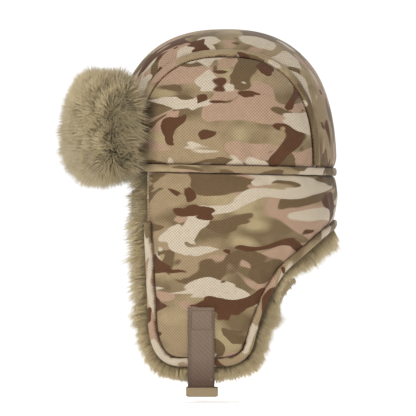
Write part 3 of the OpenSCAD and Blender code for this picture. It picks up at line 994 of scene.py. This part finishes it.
def inner_layer(node, mat, sink):
    """A hidden layer: the node's own shape with rounder faces and a flat map for its weave. sink draws
    its outer face in towards the head, to leave room under the seams' grooves."""
    obj = node_copy(node, node + "_layer", mat)
    mesh = obj.data
    shade_smooth(mesh)
    for old in list(mesh.uv_layers):
        mesh.uv_layers.remove(old)
    co = coords(obj)
    flat_layer(mesh, np.stack([np.arctan2(co[:, 1], co[:, 0]) * 0.1, co[:, 2]], -1))
    if sink:
        away = ellipsoid_normals(co * np.array([1, 1, 0]) + np.array([0, 0, 1]) * np.maximum(co[:, 2:], 0))
        facing = (coords(obj, "normal") * away).sum(1)
        set_coords(obj, co - away * (sink * (facing > 0.3))[:, None])
    return obj


def welt(name, at, count, span):
    """A raised strip over a seam. at(f, across, up) gives a point; f runs along it and across from -1 to 1."""
    rings, uvs = [], []
    for i, f in enumerate(np.linspace(0, 1, count)):
        wave = 1 + 0.05 * math.sin(i * 1.9) + 0.04 * math.sin(i * 0.73 + 1)
        lift = 0.2 * math.sin(i * 1.3) + 0.16 * math.sin(i * 0.47)
        rings.append([at(f, a * wave, (up + (lift * (1.2 - abs(a)) if up > 0 else 0)) * MM)
                      for a, up in WELT_SECTION])
        uvs.append([(0.2 + f * span, 0.55 + a * 4.5 * MM) for a, up in WELT_SECTION])
    strip = tube(name, seam_shift(np.array(rings).reshape(count, len(WELT_SECTION), 3)), MAT["welt"], np.array(uvs),
                 WELT_PAINTED_SHADE)
    return smoother(strip)


def crown_welt():
    start = math.radians(1.2)

    def at(f, across, up):
        phi = start + f * (math.pi - 2 * start)
        return dome(rho_share(SEAM_RHO - across * WELT_HALF), phi, up)

    return welt("crown_welt_left_strip", at, 110, 0.32)


def band_welt():
    def at(f, across, up):
        turn = math.pi / 2 + f * 2 * math.pi * 0.9995
        z = across * BAND_HALF
        if z >= 0:
            scale = (1 - (z / HIGH) ** ARCH) ** (1 / ARCH)
            return wall(turn, 0.0, up) * np.array([scale, scale, 0]) + np.array([0, 0, z])
        return wall(turn, z, up)

    return welt("band_welt_strip", at, 200, 0.64)


# The same for the binding, which wraps the edge: (in from the edge, up), both in millimetres
BINDING_SECTION = [(8.1, -1.8), (8.1, -0.2), (7.7, 1.0), (6.4, 1.75), (4.0, 2.05), (1.8, 1.7), (0.3, 0.4),
                   (-0.3, -1.8), (-0.2, -4.8), (0.5, -7.0), (2.2, -8.3), (5.0, -8.6), (8.0, -8.2)]
# Painted shade at each of these points, deepest where the binding tucks in at its inner edges
BINDING_PAINTED_SHADE = [1, 0.75, 0.2, 0, 0, 0, 0, 0.1, 0.2, 0.2, 0.1, 0, 0.8]


def binding():
    """Binding round the left ear flap and along the left half of the neck."""
    line = outline(0, 2.8 * MM)
    across = side_normals(line)
    rings, uvs, run = [], [], 0.0
    for i, (p, n) in enumerate(zip(line, across)):
        run += np.linalg.norm(p - line[i - 1]) if i else 0
        wave = 1 + 0.05 * math.sin(i * 1.7) + 0.05 * math.sin(i * 0.41 + 2)
        lift = 0.25 * math.sin(i * 0.9) + 0.2 * math.sin(i * 0.37)
        rings.append([spread(p + n * a * wave * MM, (up + (lift if up > 0.5 else 0)) * MM)
                      for a, up in BINDING_SECTION])
        uvs.append([(0.4 + run, 0.7 + a * MM) for a, up in BINDING_SECTION])
    strip = tube("left_edge_binding", np.array(rings), MAT["welt"], np.array(uvs), BINDING_PAINTED_SHADE)
    return smoother(strip)


# ---- fur ----


# Large primes that give each cell of a lattice a number of its own
CELL_PRIMES = np.array([73856093, 19349663, 83492791])


def spikes(name, roots, ways, lengths, radius, droop, clump, rng, cell):
    """Closed, tapered, curved hairs. ways are their directions, droop bends them, and clump draws the
    hairs in each cell of the given size towards one tip, as locks do."""
    count = len(roots)
    ways = unit(ways)
    tips = roots + ways * lengths[:, None] + droop
    key = np.floor(tips / cell).astype(np.int64)
    _, lock = np.unique(key @ CELL_PRIMES, return_inverse=True)
    lock = lock.ravel()
    members = np.bincount(lock)
    middle = np.stack([np.bincount(lock, tips[:, k]) / members for k in range(3)], -1)
    pull = (middle[lock] - tips) * clump
    tone = rng.uniform(0, 1, len(members))[lock] * 0.6 + rng.uniform(0, 1, count) * 0.4
    side = unit(np.cross(ways, np.array([0.31, 0.52, 0.79])))
    up = np.cross(ways, side)
    rings, alongs = [], []
    for level in (0.0, 0.52):
        centre = roots + ways * (lengths * level)[:, None] + droop * level**2 + pull * level**1.6
        wide = radius * (1 - level * 0.55)
        for corner in range(3):
            a = corner * 2 * math.pi / 3
            rings.append(centre + (side * math.cos(a) + up * math.sin(a)) * np.reshape(wide, (-1, 1)))
            alongs.append(np.full(count, level))
    rings.append(tips + pull)
    alongs.append(np.ones(count))
    verts = np.stack(rings, 1).reshape(-1, 3)
    along = np.stack(alongs, 1).ravel()
    # Seven points to a hair: two rings of three, and the tip
    per = 7
    quads = [(c, (c + 1) % 3, 3 + (c + 1) % 3, 3 + c) for c in range(3)]
    tris = [(2, 1, 0)] + [(3 + c, 3 + (c + 1) % 3, 6) for c in range(3)]
    base = (np.arange(count) * per)[:, None, None]
    quad_loops = (np.array(quads)[None] + base).reshape(-1)
    tri_loops = (np.array(tris)[None] + base).reshape(-1)
    mesh = bpy.data.meshes.new(name)
    mesh.vertices.add(len(verts))
    mesh.vertices.foreach_set("co", verts.astype(np.float32).ravel())
    n_quads, n_tris = count * len(quads), count * len(tris)
    mesh.loops.add(n_quads * 4 + n_tris * 3)
    mesh.loops.foreach_set("vertex_index", np.concatenate([quad_loops, tri_loops]).astype(np.int32))
    mesh.polygons.add(n_quads + n_tris)
    starts = np.concatenate([np.arange(n_quads) * 4, n_quads * 4 + np.arange(n_tris) * 3])
    mesh.polygons.foreach_set("loop_start", starts.astype(np.int32))
    mesh.update(calc_edges=True)
    shade_smooth(mesh)
    mesh.materials.append(MAT["fur"])
    obj = link(name, mesh)
    mark(obj, "along", along)
    mark(obj, "lock", np.repeat(tone, per))
    return obj


def facing_out(points, normals):
    """How far each normal turns away from the upright through the head, from -1 to 1."""
    return (normals * unit(points * np.array([1, 1, 0]))).sum(1)


def scatter(obj, count, rng, keep):
    """Random points on an object's faces, with their normals, where keep(points, normals) says so."""
    mesh = obj.data
    mesh.calc_loop_triangles()
    tris = np.empty(len(mesh.loop_triangles) * 3, np.int32)
    mesh.loop_triangles.foreach_get("vertices", tris)
    co = coords(obj)[tris.reshape(-1, 3)]
    cross = np.cross(co[:, 1] - co[:, 0], co[:, 2] - co[:, 0])
    area = np.linalg.norm(cross, axis=1)
    normals = cross / np.maximum(area, 1e-15)[:, None]
    good = keep(co.mean(1), normals)
    share = np.where(good, area, 0)
    pick = rng.choice(len(area), count, p=share / share.sum())
    u, v = rng.uniform(size=(2, count))
    over = u + v > 1
    u[over], v[over] = 1 - u[over], 1 - v[over]
    tri = co[pick]
    points = tri[:, 0] + (tri[:, 1] - tri[:, 0]) * u[:, None] + (tri[:, 2] - tri[:, 0]) * v[:, None]
    return points, normals[pick]


def pad_from(node, shrink):
    """The knitted backing under the fur: the node's own shape, drawn in and smoothed."""
    obj = node_copy(node, node + "_backing", MAT["fur"])
    obj.modifiers.new("weld", "WELD").merge_threshold = 0.02 * MM
    recalc(settle(obj))
    set_coords(obj, coords(obj) - coords(obj, "normal") * shrink)
    shade_smooth(smoother(obj).data)
    return as_backing(obj, 0.15, 0.3)


def in_pieces(name, roots, ways, lengths, radius, droop, clump, rng, cell):
    """The same hairs as several objects, each small enough to store whole."""
    order = np.argsort(roots[:, 1], kind="stable")
    parts = np.array_split(order, max(1, math.ceil(len(roots) / HAIRS_EACH)))
    return [spikes(f"{name}_{i + 1}", roots[part], ways[part], lengths[part], radius, droop[part], clump, rng, cell)
            for i, part in enumerate(parts)]


def brim_fur_point(t, high, share):
    """A place in the front fur: t from -1 to 1 along the flap, high from -1 to 1 up it, and the share of
    the fur's thickness out from its back."""
    t, high, share = np.broadcast_arrays(t, high, share)
    angle = t * BRIM_FUR_REACH * (1 + 0.17 * share)
    thick = BRIM_FUR_END + (BRIM_FUR_MID - BRIM_FUR_END) * np.cos(np.clip(t, -1, 1) * math.radians(78))
    level = BRIM_LEVEL + high * (BRIM_HALF + 1 * MM)
    return wall(-math.pi / 2 + angle, level, BRIM_FRONT + 0.6 * MM + thick * share)


def as_backing(obj, along, lock):
    """Gives a pad one tone of the fur's material all over."""
    for label, value in (("along", along), ("lock", lock)):
        mark(obj, label, np.full(len(obj.data.vertices), value))
    return obj


def brim_backing():
    """A rounded pad for the front fur to grow from, fullest below its middle."""
    rings = []
    for t in np.sin(np.linspace(-math.pi / 2, math.pi / 2, 71)):
        scale = max(0.2, quarter_round((1 - abs(t)) / 0.24))
        ring = []
        for a in np.linspace(0, 2 * math.pi, 44, endpoint=False):
            high = float(spow(math.cos(a), 0.66)) * (0.58 + 0.36 * scale)
            full = 0.46 - 0.08 * high - 0.2 * max(0.0, -high - 0.3)
            high *= 0.84 if high < 0 else 1.0
            bulge = float(spow(math.sin(a), 0.8))
            out = 0.2 + full * max(0.0, bulge) * (0.35 + 0.65 * scale) + 0.14 * min(0.0, bulge)
            ring.append(brim_fur_point(t, high, out))
        rings.append(ring)
    obj = tube("front_fur_backing", np.array(rings), MAT["fur"])
    return smoother(as_backing(obj, 0.2, 0.4))


def brim_fur(count, length):
    """Fur on the front flap. It parts along the middle of each end and lies away from there."""
    rng = np.random.default_rng(21)
    pad = brim_backing()
    roots, normals = scatter(pad, count, rng, lambda points, normals: facing_out(points, normals) > -0.6)
    # Where the hairs part: half its width, how far out it lies, and its height from and to
    half, ahead, low, high = 68 * MM, 121 * MM, 10 * MM, 46 * MM
    wander = noise3(roots, 90, 60) * 7 * MM
    parting = np.stack([np.clip(roots[:, 0], -half, half), wander - ahead, np.clip(roots[:, 2], low, high)], -1)
    flow = roots - parting
    flow[:, 0] *= 0.4
    flow /= np.linalg.norm(flow, axis=1)[:, None] + 9 * MM
    swirl = flow_noise(roots, 110, 70) * 0.42 + flow_noise(roots, 330, 80) * 0.26
    ways = normals * 0.6 + flow * 0.7 + swirl + rng.normal(size=roots.shape) * 0.2
    uneven = 1 + 0.09 * noise3(roots, 260, 90)
    lengths = rng.uniform(0.78, 1.06, count) * length * uneven
    droop = flow * length * 0.2 + np.array([0, 0, -0.1 * length]) + flow_noise(roots, 420, 95) * length * 0.2
    made = in_pieces("front_fur", roots, ways, lengths, HAIR_R, droop, 0.34, rng, 3.4 * MM)
    return pad, made


def fringe_share(s, z):
    """How long the fur is at a place along the edge: shorter at the flap's foot and in the hollow behind."""
    front = np.interp(z, np.array([-229, -200, -180, -155, -138]) * MM, [0.7, 0.8, 1.05, 1.0, 1.2])
    rear = np.interp(z, np.array([-229, -200, -182, -150, -134, -118, -98, -84]) * MM,
                     [0.72, 0.82, 1.15, 1.2, 0.98, 0.52, 0.62, 1.05])
    return np.where(s < 0, front, rear)


def fringe_fur(count, length):
    """Fur that shows past the left half's bound edge, and past the skirt's front edge."""
    rng = np.random.default_rng(33)
    line = outline(-1.0 * MM, 2 * MM)
    front_at = float(length_of(-SKIRT_FRONT))
    cheek = np.stack([np.full(18, front_at - 1 * MM), np.linspace(-2 * MM, -CHEEK_DROP, 18)], -1)
    away = np.vstack([np.tile([-1.0, 0.0], (18, 1)), -side_normals(line)])
    line = np.vstack([cheek, line])
    gaps = run_along(line)
    at = rng.uniform(0, gaps[-1], count)
    p = np.stack([np.interp(at, gaps, line[:, k]) for k in range(2)], -1)
    n = np.stack([np.interp(at, gaps, away[:, k]) for k in range(2)], -1)
    n = unit(n)
    share = fringe_share(p[:, 0] - 0.5 * (line[:, 0].min() + line[:, 0].max()), p[:, 1])
    cheek_share = soft((p[:, 1] + CHEEK_DROP + 4 * MM) / (8 * MM)) * (p[:, 0] < 0)
    fur_deep = 17 * MM
    depth = rng.uniform(0, 1, count) ** 1.25
    out = rng.uniform(-1, 8, count) * MM * (0.35 + 0.65 * rng.uniform(0, 1, count)) * share
    spot = p + n * out[:, None]
    grow = -2.6 * MM + 1.6 * MM * cheek_share - depth * fur_deep
    roots = spread(spot, grow)
    ways = unit(spread(spot + n * 2 * MM, grow) - roots)
    turn = turn_of(spot[:, 0])
    face = unit(wall(turn, spot[:, 1], grow + 1 * MM) - wall(turn, spot[:, 1], grow))
    lift = 0.3 - 0.8 * depth + 0.15 * cheek_share
    swirl = flow_noise(roots, 330, 40) * 0.3 + flow_noise(roots, 130, 44) * 0.2
    ways = ways + face * lift[:, None] + swirl + np.array([0, 0, -0.2]) + rng.normal(size=ways.shape) * 0.18
    uneven = 1 + 0.13 * noise3(roots, 300, 48)
    lengths = rng.uniform(0.76, 1.08, count) * length * share * uneven
    droop = (flow_noise(roots, 500, 52) * 0.16 + np.array([0, 0, -0.1])) * length * share[:, None]
    made = in_pieces("left_fringe_fur", roots, ways, lengths, HAIR_R, droop, 0.36, rng, 3.2 * MM)
    for piece in made:
        piece.data.materials[0] = MAT["edge_fur"]
        co = coords(piece)
        # Painted shade on the fur high at the front, by the cheek, laid into its lock tone
        painted_cheek_shade = soft((co[:, 2] + 80 * MM) / (55 * MM)) * (co[:, 1] < 0)
        lock = piece.data.attributes["lock"].data
        tone = np.empty(len(lock), np.float32)
        lock.foreach_get("value", tone)
        lock.foreach_set("value", (tone - 0.8 * painted_cheek_shade).astype(np.float32))
    return made


def lining_fur(pad, name, count, length, seed):
    """Fur on the inside of a pad, lying down towards its lower edge."""
    rng = np.random.default_rng(seed)
    roots, normals = scatter(pad, count, rng, lambda points, normals: facing_out(points, normals) < 0.25)
    ways = normals + np.array([0, 0, -0.8]) + rng.normal(size=roots.shape) * 0.3
    lengths = rng.uniform(0.7, 1.1, count) * length
    droop = np.tile([0, 0, -0.25 * length], (count, 1)) + rng.normal(size=roots.shape) * length * 0.08
    # Hairs that would reach past the edge are shorter; the loop closes well above the hat
    edge = outline(-3 * MM, 3 * MM)
    loop = np.vstack([edge, edge[-1:] + [[0.03, 0.2]], edge[:1] + [[-0.03, 0.2]]])
    straight = unit(ways) * lengths[:, None]
    for reach in (1.0, 0.6):
        tips = roots + (straight + droop) * reach
        over = ~within(np.stack([length_of(tips[:, 1]), tips[:, 2]], -1), loop)
        lengths[over] *= 0.5
        droop[over] *= 0.5
    return in_pieces(name, roots, ways, lengths, PILE_R, droop, 0.45, rng, 4 * MM)


# ---- straps and buckle ----


def ribbon(name, path, thick, middle_y):
    """Flat webbing with round edges along (x, z) points, with its run as the map's second number."""
    path = resample(np.array(path), 2 * MM, 1)
    half = WEB_WIDE / 2
    section = [(s * (half - 0.3 * MM), thick / 2 * (1.0 if abs(s) < 0.99 else 0.6)) for s in np.linspace(-1, 1, 9)]
    section += [(half, 0)] + [(a, -b) for a, b in section[::-1]] + [(-half, 0)]
    # Painted shade along the webbing's two edges
    painted_shade = [0.5 if abs(a) > half - 0.4 * MM else 0.0 for a, b in section]
    run = run_along(path)
    rings, uvs = [], []
    for p, n, r in zip(path, side_normals(path), run):
        rings.append([(p[0] + n[0] * b, middle_y + a, p[1] + n[1] * b) for a, b in section])
        uvs.append([(a, r if b > 0 else r + 0.0007) for a, b in section])
    return tube(name, np.array(rings), MAT["webbing"], np.array(uvs), painted_shade)


def face_x(y, z):
    """The ear flap's surface at a place seen from the side."""
    turn = turn_of(length_of(y))
    return float(wall(turn, z)[0])


def strap_face(z):
    """The height of the strap's middle over the flap: close at its sewn end, clear of the binding below."""
    down = np.clip((STRAP_TOP - z) / (STRAP_TOP + FLAP_DROP), 0, 1)
    return face_x(STRAP_Y, z) + float(3.3 + 0.5 * soft(down)) * MM


def strap_paths():
    """The left strap's two layers and the right strap, as (x, z) points seen from the front."""
    face = [(strap_face(z), z) for z in np.linspace(STRAP_TOP, -FLAP_DROP - 4 * MM, 12)]
    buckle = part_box("buckle_socket")
    bar_z = (buckle[0][2] + buckle[1][2]) / 2

    def layer(shift, radius, turn, step):
        """Down the flap and round the buckle's bar."""
        hook = np.radians(np.arange(0, -turn, -step))
        return ([(x + shift, z) for x, z in face] + [(BAR_X + radius, bar_z + 8 * MM)]
                + [(BAR_X + radius * math.cos(a), bar_z + radius * math.sin(a)) for a in hook])

    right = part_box("right_strap")
    level = right[0][2] + WEB_LIFT
    turn_r = 12 * MM
    knee = face[-1][0] - turn_r
    single = [(-x, z) for x, z in face]
    single += [(-(knee + turn_r * math.cos(a)), level + turn_r - turn_r * math.sin(a))
               for a in np.radians(np.arange(10, 91, 16))]
    single.append((right[1][0], level))
    return layer(WEB_LIFT, 4.2 * MM, 250, 22), layer(-WEB_LIFT, 2.75 * MM, 235, 25), single


def stitches(name, rows):
    """Sewn rows: each row is a list of points, and every stitch is a short rounded piece of thread."""
    pitch = 2.6 * MM
    rings, faces = [], []
    for row in rows:
        row = np.array(row, float)
        run = run_along(row)
        for at in np.arange(pitch / 2, run[-1], pitch):
            ends = [np.array([np.interp(at + s * pitch, run, row[:, k]) for k in range(3)]) for s in (-0.33, 0.33)]
            along = unit(ends[1] - ends[0])
            side = unit(np.cross(along, [0.3, 0.9, 0.2]))
            up = np.cross(along, side)
            first = len(rings) * 6
            for f, wide in ((-0.12, 0.12), (0.2, 0.34), (0.8, 0.34), (1.12, 0.12)):
                centre = ends[0] + (ends[1] - ends[0]) * f
                rings.append([centre + (side * math.cos(a) + up * math.sin(a)) * wide * MM
                              for a in np.linspace(0, 2 * math.pi, 6, endpoint=False)])
            for k in range(3):
                for c in range(6):
                    d = (c + 1) % 6
                    faces.append((first + k * 6 + c, first + k * 6 + d, first + k * 6 + 6 + d, first + k * 6 + 6 + c))
            faces.append(tuple(first + c for c in range(5, -1, -1)))
            faces.append(tuple(first + 18 + c for c in range(6)))
    verts = np.array(rings).reshape(-1, 3)
    obj = new_object(name, verts, faces, MAT["thread"], verts[:, 1:])
    recalc(obj)
    return obj


def strap_stitching(side):
    """The box of stitches that holds a strap's end to its flap, and the row above the buckle."""
    half = WEB_WIDE / 2 - 2.2 * MM
    lift = 1.5 * MM if side > 0 else 0.8 * MM
    top, low = STRAP_TOP - 3.2 * MM, STRAP_TOP - 22 * MM
    corners = [(-half, top), (half, top), (half, low), (-half, low), (-half, top)]
    rows = [[(side * (strap_face(z) + lift), STRAP_Y + y, z) for y, z in ends] for ends in zip(corners, corners[1:])]
    if side > 0:
        end = -FLAP_DROP - 14.5 * MM
        rows.append([(BAR_X + 5.0 * MM, STRAP_Y + y, end) for y in (-half, half)])
    return stitches(f"{'left' if side > 0 else 'right'}_strap_stitches", rows)


def moulded(node):
    """A moulded piece: the node's own shape with its sharp edges rounded."""
    obj = node_copy(node, node + "_moulding", MAT["resin"])
    obj.modifiers.new("weld", "WELD").merge_threshold = 0.01 * MM
    edges = obj.modifiers.new("edges", "BEVEL")
    edges.width = 1.1 * MM
    edges.segments = 3
    edges.limit_method = "ANGLE"
    edges.angle_limit = math.radians(35)
    edges.use_clamp_overlap = True
    shade_smooth(settle(obj).data)
    return obj


# ---- placing ----

FOLD_DOWN = Vector((0, FOLD_AXIS[2], -FOLD_AXIS[1]))
if FOLD_DOWN[2] > 0:
    FOLD_DOWN.negate()


def over_fold(obj, side):
    """Bakes a piece's placement into its own mesh; nothing is bent across the ear flap's fold."""
    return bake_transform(obj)


def place(obj, slot, body, *nodes):
    """Puts a piece on its body and hides the nodes that it takes the place of; its slot is not used."""
    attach(obj, body)
    if nodes:
        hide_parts(*nodes)
    return obj


def wadding_layer(node, body):
    place(inner_layer(node, MAT["wadding"], WADDING_SINK), "wadding", body, node)


def both_sides(left, nodes, onto):
    """Finishes a left piece and its mirrored twin, and hands each to onto(obj, side)."""
    right = mirrored(left, left.name.replace("left", "right"))
    for obj, side in ((left, "left"), (right, "right")):
        onto(obj, side)
        if nodes:
            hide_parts(*(n.format(side=side) for n in nodes))
    return right


def on_crown(obj, side):
    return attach(obj, "crown")


# ---- settings and operators ----


class HatFinish(bpy.types.PropertyGroup):
    front_hairs: IntProperty(name="Front hairs", description="Hairs on the front flap", default=30000, min=1000)
    fringe_hairs: IntProperty(name="Fringe hairs", description="Hairs on each side's edge", default=17000, min=1000)
    hair_length: FloatProperty(
        name="Hair length", description="Length of a hair on the front flap", default=17 * MM, min=0.005, unit="LENGTH"
    )
    fringe_length: FloatProperty(
        name="Fringe length", description="Length of a hair at the edges", default=17 * MM, min=0.005, unit="LENGTH"
    )
    cloth_base: tint("Cloth base", "Ground colour of the cloth", (142, 122, 92))
    cloth_khaki: tint("Cloth khaki", "Soft dark clouds on the cloth", (105, 87, 59))
    cloth_sand: tint("Cloth sand", "Soft pale clouds on the cloth", (155, 138, 103))
    cloth_clay: tint("Cloth clay", "Pinkish patches on the cloth", (157, 129, 106))
    cloth_olive: tint("Cloth olive", "Olive brown patches on the cloth", (96, 76, 49))
    cloth_cream: tint("Cloth cream", "Cream patches on the cloth", (180, 166, 145))
    cloth_brown: tint("Cloth brown", "Dark brown patches on the cloth", (80, 48, 24))
    lining: tint("Lining", "Crown lining cloth", (112, 96, 76))
    sweatband: tint("Sweatband", "Sweatband knit", (92, 80, 64))
    wadding: tint("Wadding", "Padding inside the cloth", (216, 210, 196))
    thread: tint("Thread", "Sewing thread", (96, 74, 54))
    fur_root: tint("Fur root", "Fur where it grows", (122, 106, 75))
    fur_body: tint("Fur body", "Fur at its middle", (168, 150, 113))
    fur_tip: tint("Fur tip", "Fur at its ends", (200, 184, 147))
    strap: tint("Strap", "Strap webbing at its top", (116, 96, 78))
    # Painted shade: the webbing's colour near the buckle
    strap_painted_shade: tint("Strap end", "Strap webbing near the buckle", (84, 60, 44))
    buckle: tint("Buckle", "Moulded buckle", (130, 112, 84))


class HAT_OT_crown(bpy.types.Operator):
    """Builds the crown's panels, welts, wadding, lining and sweatband"""

    bl_idname = "hat.crown"
    bl_label = "Crown"

    def execute(self, context):
        ready(context)
        both_sides(side_panel(), ["crown_side_{side}"], on_crown)
        place(gusset_panel(), "camo_cloth", "crown", "crown_gusset")
        both_sides(crown_welt(), ["crown_welt_{side}"], on_crown)
        place(band_welt(), "welt_cloth", "crown", "band_welt")
        for node in ("side_wadding_left", "side_wadding_right", "top_wadding"):
            wadding_layer(node, "crown")
        place(inner_layer("crown_lining", MAT["lining"], 0.0), "lining", "crown", "crown_lining")
        place(inner_layer("sweatband", MAT["band"], 0.0), "sweatband_knit", "crown", "sweatband")
        return {"FINISHED"}


class HAT_OT_skirt(bpy.types.Operator):
    """Builds the skirt and both ear flaps: cloth, bindings and wadding"""

    bl_idname = "hat.skirt"
    bl_label = "Skirt and ear flaps"

    def execute(self, context):
        ready(context)
        twin = both_sides(skirt_half(), ["{side}_flap_cloth"], over_fold)
        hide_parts("skirt_cloth")
        both_sides(front_facing(), [], on_crown)
        twin = both_sides(binding(), ["{side}_flap_binding"], over_fold)
        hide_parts("neck_binding")
        wadding_layer("skirt_wadding", "crown")
        for side in ("left", "right"):
            wadding_layer(f"{side}_flap_wadding", f"{side}_ear_flap")
        return {"FINISHED"}


class HAT_OT_front_flap(bpy.types.Operator):
    """Builds the front flap: its padded cloth leaf and its deep fur"""

    bl_idname = "hat.front_flap"
    bl_label = "Front flap"

    def execute(self, context):
        ready(context)
        look = context.scene.hat_finish
        leaf = place(brim_leaf(), "camo_cloth", "front_flap", "front_flap_cloth", "front_flap_wadding")
        pad, hairs = brim_fur(look.front_hairs, look.hair_length)
        place(pad, "fur", "front_flap", "front_flap_fur")
        for obj in hairs:
            place(obj, "fur", "front_flap")
        return {"FINISHED"}


class HAT_OT_fur(bpy.types.Operator):
    """Builds the fur lining of the skirt and ear flaps, and the fur past their edges"""

    bl_idname = "hat.fur"
    bl_label = "Fur lining"

    def execute(self, context):
        ready(context)
        look = context.scene.hat_finish
        for piece in fringe_fur(look.fringe_hairs, look.fringe_length):
            both_sides(piece, [], over_fold)
        pads = {
            "left_flap_fur": ("left_ear_flap", 5200),
            "right_flap_fur": ("right_ear_flap", 5200),
            "skirt_fur": ("crown", 9000),
            "neck_fur": ("crown", 2500),
            "cheek_fur_left": ("crown", 600),
            "cheek_fur_right": ("crown", 600),
        }
        for i, (node, (body, count)) in enumerate(pads.items()):
            pad = pad_from(node, 2.5 * MM if "cheek" in node else 4 * MM)
            hairs = lining_fur(pad, node + "_pile", count, 13 * MM, 50 + i)
            place(pad, "fur", body, node)
            for obj in hairs:
                place(obj, "fur", body)
        return {"FINISHED"}


class HAT_OT_strap(bpy.types.Operator):
    """Builds the chin strap's webbing and the moulded buckle"""

    bl_idname = "hat.strap"
    bl_label = "Chin strap"

    def execute(self, context):
        ready(context)
        outer, inner, single = strap_paths()
        place(ribbon("left_strap_outer_web", outer, 1.4 * MM, STRAP_Y), "webbing", "left_ear_flap", "left_strap")
        place(ribbon("left_strap_inner_web", inner, 1.4 * MM, STRAP_Y - 1.6 * MM), "webbing", "left_ear_flap")
        place(ribbon("right_strap_web", single, 1.5 * MM, STRAP_Y), "webbing", "right_ear_flap", "right_strap")
        place(strap_stitching(1), "webbing", "left_ear_flap")
        place(strap_stitching(-1), "webbing", "right_ear_flap")
        carriers = {"buckle_socket": "left_ear_flap", "buckle_plug": "right_ear_flap", "plug_arm_front": "arm_front",
                    "plug_arm_rear": "arm_rear"}
        for node, body in carriers.items():
            place(moulded(node), "buckle_resin", body, node)
        return {"FINISHED"}


class HAT_OT_stage(bpy.types.Operator):
    """Sets the camera, the soft studio lights and the pale floor"""

    bl_idname = "hat.stage"
    bl_label = "Stage"

    def execute(self, context):
        ready(context)
        scene = context.scene
        scene.view_settings.view_transform = "Standard"
        aim = Vector((0, -17 * MM, -40 * MM))
        # The view is view_wide across at the ear flap, which lies flap_out nearer than the hat's middle
        far, flap_out, view_wide, sensor = 8.0, 0.045, 0.416, 36
        camera_data = bpy.data.cameras.new("camera")
        camera_data.sensor_width = sensor
        camera_data.lens = sensor * (far - flap_out) / view_wide
        camera_data.clip_end = 50
        camera = link("camera", camera_data)
        camera.location = aim + Vector((far, 0, 0))
        camera.rotation_euler = (math.radians(90), 0, math.radians(90))
        scene.camera = camera
        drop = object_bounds()[0][2] - 6 * MM
        reach = 30
        corners = [(x * reach, y * reach, drop) for x, y in ((-1, -1), (1, -1), (1, 1), (-1, 1))]
        white, _, shader = material("floor white")
        set_sockets(shader, {"Base Color": (0.9, 0.9, 0.9, 1), "Roughness": 0.9, "Emission Color": (1, 1, 1, 1),
                             "Emission Strength": 0.72})
        new_object("floor", corners, [(0, 1, 2, 3)], white)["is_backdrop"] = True
        scene.world = bpy.data.worlds.new("studio")
        scene.world.use_nodes = True
        nodes = scene.world.node_tree
        sky = nodes.nodes["Background"]
        seen = put(nodes, "ShaderNodeLightPath").outputs["Is Camera Ray"]
        sky.inputs["Color"].default_value = (1, 1, 1, 1)
        nodes.links.new(math_node(nodes, "MULTIPLY_ADD", seen, 0.65, 0.42), sky.inputs["Strength"])
        for name, at, power, size in (
            ("key", (1.5, -1.2, 1.6), 36, 0.8),
            ("fill", (1.6, 1.2, 0.5), 4.5, 1.4),
            ("back", (-1.4, 0.3, 1.2), 14, 1.2),
        ):
            lamp = bpy.data.lights.new(name, "AREA")
            lamp.energy, lamp.size = power, size
            obj = link(name, lamp)
            obj.location = at
            obj.rotation_euler = (aim - Vector(at)).to_track_quat("-Z", "Y").to_euler()
        return {"FINISHED"}


OPERATORS = (HAT_OT_crown, HAT_OT_skirt, HAT_OT_front_flap, HAT_OT_fur, HAT_OT_strap, HAT_OT_stage)


class HAT_PT_panel(bpy.types.Panel):
    """Lists the hat's steps in the sidebar"""

    bl_label = "Trapper Hat"
    bl_idname = "HAT_PT_panel"
    bl_space_type = "VIEW_3D"
    bl_region_type = "UI"
    bl_category = "Trapper Hat"

    def draw(self, context):
        for name in HatFinish.__annotations__:
            self.layout.prop(context.scene.hat_finish, name)
        for operator in OPERATORS:
            self.layout.operator(operator.bl_idname)


CLASSES = (HatFinish, *OPERATORS, HAT_PT_panel)


def register():
    for item in CLASSES:
        bpy.utils.register_class(item)
    bpy.types.Scene.hat_finish = PointerProperty(type=HatFinish)


def unregister():
    del bpy.types.Scene.hat_finish
    for item in reversed(CLASSES):
        bpy.utils.unregister_class(item)


def main():
    register()
    ready(bpy.context)
    bpy.ops.hat.crown()
    bpy.ops.hat.skirt()
    bpy.ops.hat.front_flap()
    bpy.ops.hat.fur()
    bpy.ops.hat.strap()
    bpy.ops.hat.stage()


if __name__ == "__main__":
    main()
